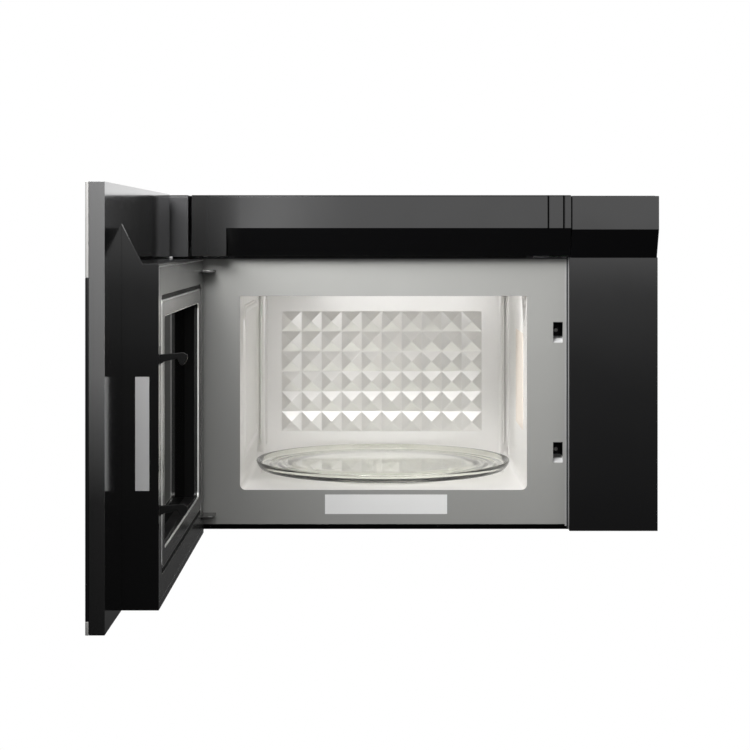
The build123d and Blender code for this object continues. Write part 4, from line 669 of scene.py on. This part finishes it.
def newPiece(name, points, faces, material, body, replaced=()):
    # A mesh object from arrays, with its doubles merged and its faces turned outwards.
    mesh = bpy.data.meshes.new(name)
    mesh.from_pydata(points.reshape(-1, 3).tolist(), [], faces.tolist())
    shape = bmesh.new()
    shape.from_mesh(mesh)
    bmesh.ops.remove_doubles(shape, verts=shape.verts, dist=mergeDistance)
    bmesh.ops.recalc_face_normals(shape, faces=shape.faces)
    shape.to_mesh(mesh)
    shape.free()
    mesh.materials.append(material)
    piece = bpy.data.objects.new(name, mesh)
    scene.collection.objects.link(piece)
    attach(piece, body)
    if replaced:
        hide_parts(*replaced)
    return piece


backValues = {
    "columns": 10, "rows": 6, "pitch": 29.4 * mm, "height": 4.4 * mm,
    "centre": (-39.0 * mm, -40.2 * mm), "faceY": -15.0 * mm, "sheet": 1.0 * mm,
    "edge": 0.35 * mm, "edgeSegments": 2, "edgeAngle": 8,
}


def makeBackPanel(values):
    # Height is 0 on every line of the half-pitch grid but at its odd-odd points, the pyramids'
    # tips; each quarter is cut from corner to tip, so that all four sides come out flat.
    low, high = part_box("cavity_back_panel")
    pitch = values["pitch"]
    xs = values["centre"][0] + (np.arange(2 * values["columns"] + 1) - values["columns"]) * pitch / 2
    zs = values["centre"][1] + (np.arange(2 * values["rows"] + 1) - values["rows"]) * pitch / 2
    xs = np.concatenate([[low.x], xs, [high.x]])
    zs = np.concatenate([[low.z], zs, [high.z]])
    i, j = np.meshgrid(np.arange(len(xs)), np.arange(len(zs)), indexing="ij")
    inside = (i > 0) & (i < len(xs) - 1) & (j > 0) & (j < len(zs) - 1)
    tip = inside & (i % 2 == 0) & (j % 2 == 0)
    points = np.stack([xs[i], values["faceY"] - values["height"] * tip, zs[j]], axis=-1)
    quads = gridFaces(len(xs), len(zs))
    alongSlope = (quads[:, 0] // len(zs) + quads[:, 0] % len(zs)) % 2 == 0
    first = np.where(alongSlope[:, None], quads[:, [0, 1, 2]], quads[:, [1, 2, 3]])
    second = np.where(alongSlope[:, None], quads[:, [0, 2, 3]], quads[:, [1, 3, 0]])
    piece = newPiece("pressedBackPanel", points, np.concatenate([first, second]), finishes["cavity_enamel"],
                     "chassis", ["cavity_back_panel"])
    # an open sheet: its faces are turned to the front by hand, and its wall grows backwards
    if sum(face.normal.y for face in piece.data.polygons) > 0:
        piece.data.flip_normals()
    wall = piece.modifiers.new("wall", "SOLIDIFY")
    wall.thickness = values["sheet"]
    wall.offset = -1
    softenEdges(piece, values["edge"], values["edgeSegments"], values["edgeAngle"])
    return piece


trayValues = {
    "centre": (-38.0 * mm, -210.0 * mm),
    "steps": 128,
    # radius and height in mm, round the section from the middle underneath to the middle on top
    "section": [(0, -152.1), (60, -152.1), (120, -152.1), (125, -152.3), (128, -154.6), (131, -155.5),
                (136, -155.2), (139, -156.2), (142, -155.2), (148, -155.2), (151, -156.2), (154, -155.2),
                (159, -155.2), (162, -156.3), (166, -156.0), (168.6, -153.6), (170.6, -150.4),
                (172.0, -147.2), (172.4, -145.2), (171.6, -144.1), (170.2, -144.0), (168.6, -145.2),
                (166.6, -147.4), (163.4, -149.4), (159.0, -150.3), (152, -150.6), (149, -149.8),
                (146, -150.6), (140, -150.6), (137, -149.6), (134, -150.0), (130, -149.2), (126, -148.3),
                (118, -148.1), (60, -148.1), (0, -148.1)],
    "lugs": {"track": 18.0, "radius": 3.0, "round": 1.0, "top": -150.5, "low": -159.1,
             "count": 3, "start": 60, "sides": 24},
}


def makeTray(values):
    # The section turned round the middle: x = cx + r cos a, y = cy + r sin a, z = height.
    section = np.array(values["section"]) * mm
    angle = np.arange(values["steps"]) * 2 * pi / values["steps"]
    radius, height = section[:, 0][:, None], section[:, 1][:, None]
    points = np.stack([values["centre"][0] + radius * np.cos(angle),
                       values["centre"][1] + radius * np.sin(angle),
                       height + 0 * angle], axis=-1)
    faces = [gridFaces(len(section), len(angle), closeColumns=True)]
    points = [points.reshape(-1, 3)]
    # each lug: a round pin whose end closes on a rounded edge, from the middle on top to the middle below
    lug = values["lugs"]
    profile = np.array([(0, lug["top"]), (lug["radius"], lug["top"]),
                        (lug["radius"], lug["low"] + lug["round"]),
                        (lug["radius"] - lug["round"], lug["low"]), (0, lug["low"])]) * mm
    side = np.arange(lug["sides"]) * 2 * pi / lug["sides"]
    for count in range(lug["count"]):
        turn = radians(lug["start"]) + count * 2 * pi / lug["count"]
        centre = [values["centre"][0] + lug["track"] * mm * np.cos(turn),
                  values["centre"][1] + lug["track"] * mm * np.sin(turn)]
        before = sum(len(block) for block in points)
        faces.append(gridFaces(len(profile), len(side), closeColumns=True) + before)
        points.append(np.stack([centre[0] + profile[:, 0][:, None] * np.cos(side),
                                centre[1] + profile[:, 0][:, None] * np.sin(side),
                                profile[:, 1][:, None] + 0 * side], axis=-1).reshape(-1, 3))
    piece = newPiece("turntableTray", np.concatenate(points), np.concatenate(faces), finishes["clear_glass"],
                     "tray", ["glass_tray"])
    smooth = piece.modifiers.new("rounder", "SUBSURF")
    smooth.levels = smooth.render_levels = 1
    for face in piece.data.polygons:
        face.use_smooth = True
    return piece


def roundedPath(low, high, radius, steps=8):
    # Corner centres and outward normals of a rounded rectangle, corner after corner, so that
    # centre + r * normal is the outline of corner radius r.
    quarter = np.arange(steps + 1) * pi / 2 / steps
    signs = [(1, 1), (-1, 1), (-1, -1), (1, -1)]
    centres, normals = [], []
    for corner, (signY, signZ) in enumerate(signs):
        angle = quarter + corner * pi / 2
        y = (high[0] - radius) if signY > 0 else (low[0] + radius)
        z = (high[1] - radius) if signZ > 0 else (low[1] + radius)
        centres.append(np.tile([y, z], (len(angle), 1)))
        normals.append(np.stack([np.cos(angle), np.sin(angle)], axis=1))
    return np.concatenate(centres), np.concatenate(normals)


frameValues = {
    "outerCorner": 5.0 * mm, "innerCorner": 6.0 * mm, "face": -262.95 * mm,
    "window": ((-840.75 * mm, -158.2 * mm), (-481.75 * mm, 77.0 * mm)),
    # which outline (0 the groove's, 1 the window's), offset outwards, height over the face, in mm
    "section": [(0, -0.5, -2.4), (0, 0.0, -1.6), (0, -0.1, -0.9), (0, -0.6, -0.25), (0, -1.5, 0.0),
                (0, -2.4, 0.0), (1, 2.4, 0.0), (1, 1.2, -0.05), (1, 0.3, -0.5), (1, -0.3, -1.4),
                (1, -0.3, -5.4), (1, 0.1, -5.4), (1, 0.6, -1.1), (0, -1.6, -1.1)],
    "bright": (1, 2, 3, 7, 8),            # runs of the section in bright bare steel: partly burnished edges, partly painted highlights on the bevels
}


def makeWindowFrame(values):
    # A closed section carried round two rounded rectangles at once: points of kind 0 follow the
    # groove's outline and points of kind 1 the window's, each moved along the outline's normal.
    low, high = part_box("door_window_frame")
    outer = roundedPath((low.y, low.z), (high.y, high.z), values["outerCorner"])
    inner = roundedPath(*values["window"], values["innerCorner"])
    rings = []
    for kind, out, height in values["section"]:
        centres, normals = inner if kind else outer
        radius = (values["innerCorner"] if kind else values["outerCorner"]) + out * mm
        ring = centres + normals * radius
        rings.append(np.column_stack([np.full(len(ring), values["face"] + height * mm), ring]))
    points = np.stack(rings)
    faces = gridFaces(points.shape[0], points.shape[1], closeRows=True, closeColumns=True)
    piece = newPiece("windowFrame", points, faces, finishes["seal_steel"], "door",
                     ["door_window_frame"])
    piece.data.materials.append(finishes["bare_steel"])
    # the bright runs stand partly for painted highlights on the bevels
    bright = np.isin(np.arange(len(faces)) // points.shape[1], values["bright"])
    piece.data.polygons.foreach_set("material_index", bright.astype(np.int32))
    softenEdges(piece, 0)
    return piece


ribValues = {
    "radius": 1.3 * mm, "low": -148 * mm, "high": 72 * mm, "ending": 8 * mm, "steps": 40, "sides": 20,
    # where each rib stands on the liner, in mm: side wall, cove, back wall
    "places": [(-218.2, -62), (-216.0, -21.5), (-208.0, -15.6),
               (142.2, -97), (142.2, -66), (140.0, -21.5)],
}


def makeCornerRibs(values):
    # Upright beads: radius r * sqrt(1 - e^2), where e runs from 0 to 1 only over the ending of each end.
    height = np.linspace(values["low"], values["high"], values["steps"])
    reach = np.minimum(height - values["low"], values["high"] - height)
    ending = np.clip(1 - reach / values["ending"], 0, 1)
    radius = values["radius"] * np.sqrt(np.clip(1 - ending ** 2, 0, 1))
    angle = np.arange(values["sides"]) * 2 * pi / values["sides"]
    one = gridFaces(len(height), len(angle), closeColumns=True)
    points, faces = [], []
    for count, (x, y) in enumerate(values["places"]):
        points.append(np.stack([x * mm + radius[:, None] * np.cos(angle),
                                y * mm + radius[:, None] * np.sin(angle),
                                height[:, None] + 0 * angle], axis=-1).reshape(-1, 3))
        faces.append(one + count * len(height) * len(angle))
    piece = newPiece("cornerRibs", np.concatenate(points), np.concatenate(faces), finishes["cavity_enamel"],
                     "chassis")
    for face in piece.data.polygons:
        face.use_smooth = True
    return piece


keypadValues = {
    "face": -317.95 * mm, "proud": 0.12 * mm, "sunk": 0.05 * mm, "middle": -950.0 * mm,
    "stroke": 0.8 * mm, "gap": 0.1 * mm,  # a digit's strokes stop just short of each other
    "display": (-37.0, 68.0, 37.0, 94.0),   # left, low, right and high side in mm, from the middle line
    "digit": (4.2 * mm, 7.4 * mm), "pitch": (24.0 * mm, 21.0 * mm), "top": -28.0 * mm,
    # the other keys' marks: length, heights and places
    "bars": (8.0, (52.0, 36.0, 20.0, 4.0), (-24.0, 0.0, 24.0)),
    "columns": 3, "keys": "123456789 0 ",
    # the strokes of each digit: top, upper right, lower right, bottom, lower left, upper left, middle
    "strokes": {"0": "1111110", "1": "0110000", "2": "1101101", "3": "1111001", "4": "0110011",
                "5": "1011011", "6": "1011111", "7": "1110000", "8": "1111111", "9": "1111011"},
}


def flatBoxes(rectangles, values):
    # Closed thin boxes from rectangles (left, low, right, high) in metres, seen from the door's front,
    # where left to right runs against Y; each stands a little out of the glass and a little into it.
    left, low, right, high = np.array(rectangles).T
    y = values["middle"] - np.stack([left, right, right, left], axis=1)
    z = np.stack([low, low, high, high], axis=1)
    layers = [np.stack([np.full_like(y, x), y, z], axis=-1)
              for x in (values["face"] - values["proud"], values["face"] + values["sunk"])]
    points = np.concatenate(layers, axis=1)
    sides = np.array([[0, 1, 2, 3], [4, 7, 6, 5], [0, 4, 5, 1], [1, 5, 6, 2], [2, 6, 7, 3], [3, 7, 4, 0]])
    return points, (sides[None] + 8 * np.arange(len(points))[:, None, None]).reshape(-1, 4)


def makeKeypad(values):
    # Digits of seven strokes on a grid of three columns, short bars for the other keys, and a display.
    width, height = values["digit"]
    stroke, half, gap = values["stroke"], values["stroke"] / 2, values["gap"]
    middle = height / 2
    across = [(stroke + gap, y - half, width - stroke - gap, y + half) for y in (height - half, half, middle)]
    upright = [(x, low + gap, x + stroke, high - gap) for x in (0, width - stroke)
               for low, high in ((0, middle), (middle, height))]
    order = [across[0], upright[3], upright[2], across[1], upright[0], upright[1], across[2]]
    rectangles = []
    for place, key in enumerate(values["keys"]):
        if key == " ":
            continue
        row, column = divmod(place, values["columns"])
        right = (column - (values["columns"] - 1) / 2) * values["pitch"][0] - width / 2
        up = values["top"] - row * values["pitch"][1]
        for used, (x0, z0, x1, z1) in zip(values["strokes"][key], order):
            if used == "1":
                rectangles.append((x0 + right, z0 + up, x1 + right, z1 + up))
    length, heights, places = values["bars"]
    for z in heights:
        for y in places:
            rectangles.append(((y - length / 2) * mm, z * mm, (y + length / 2) * mm, z * mm + stroke))
    points, faces = flatBoxes(rectangles, values)
    newPiece("keyLegends", points, faces, finishes["legend_print"], "door")
    points, faces = flatBoxes([[side * mm for side in values["display"]]], values)
    newPiece("displayWindow", points, faces, finishes["display_glass"], "door")


embossValues = {
    "wall": -218.5 * mm, "sides": ((-340.0 * mm, -126.0 * mm), (-81.0 * mm, 63.0 * mm)), "corner": 22.0 * mm,
    "cornerSteps": 12,
    # offset outwards and height over the wall, in mm
    "section": [(-5.0, -0.4), (-4.6, 0.2), (-3.4, 1.5), (-1.8, 2.5), (0.0, 2.9), (1.8, 2.5), (3.4, 1.5),
                (4.6, 0.2), (5.0, -0.4)],
}


def makeWallEmboss(values):
    # A low rounded bead carried round a rounded rectangle on the left wall, its underside in the sheet.
    centres, normals = roundedPath(*values["sides"], values["corner"], values["cornerSteps"])
    rings = [np.column_stack([np.full(len(centres), values["wall"] + height * mm),
                              centres + normals * (values["corner"] + out * mm)])
             for out, height in values["section"]]
    points = np.stack(rings)
    faces = gridFaces(points.shape[0], points.shape[1], closeRows=True, closeColumns=True)
    piece = newPiece("wallEmboss", points, faces, finishes["cavity_enamel"], "chassis")
    for face in piece.data.polygons:
        face.use_smooth = True
    return piece


makeBackPanel(backValues)
makeWallEmboss(embossValues)
makeKeypad(keypadValues)
makeTray(trayValues)
makeWindowFrame(frameValues)
makeCornerRibs(ribValues)
print("back panel, wall emboss, keypad, tray, window frame and corner ribs made")
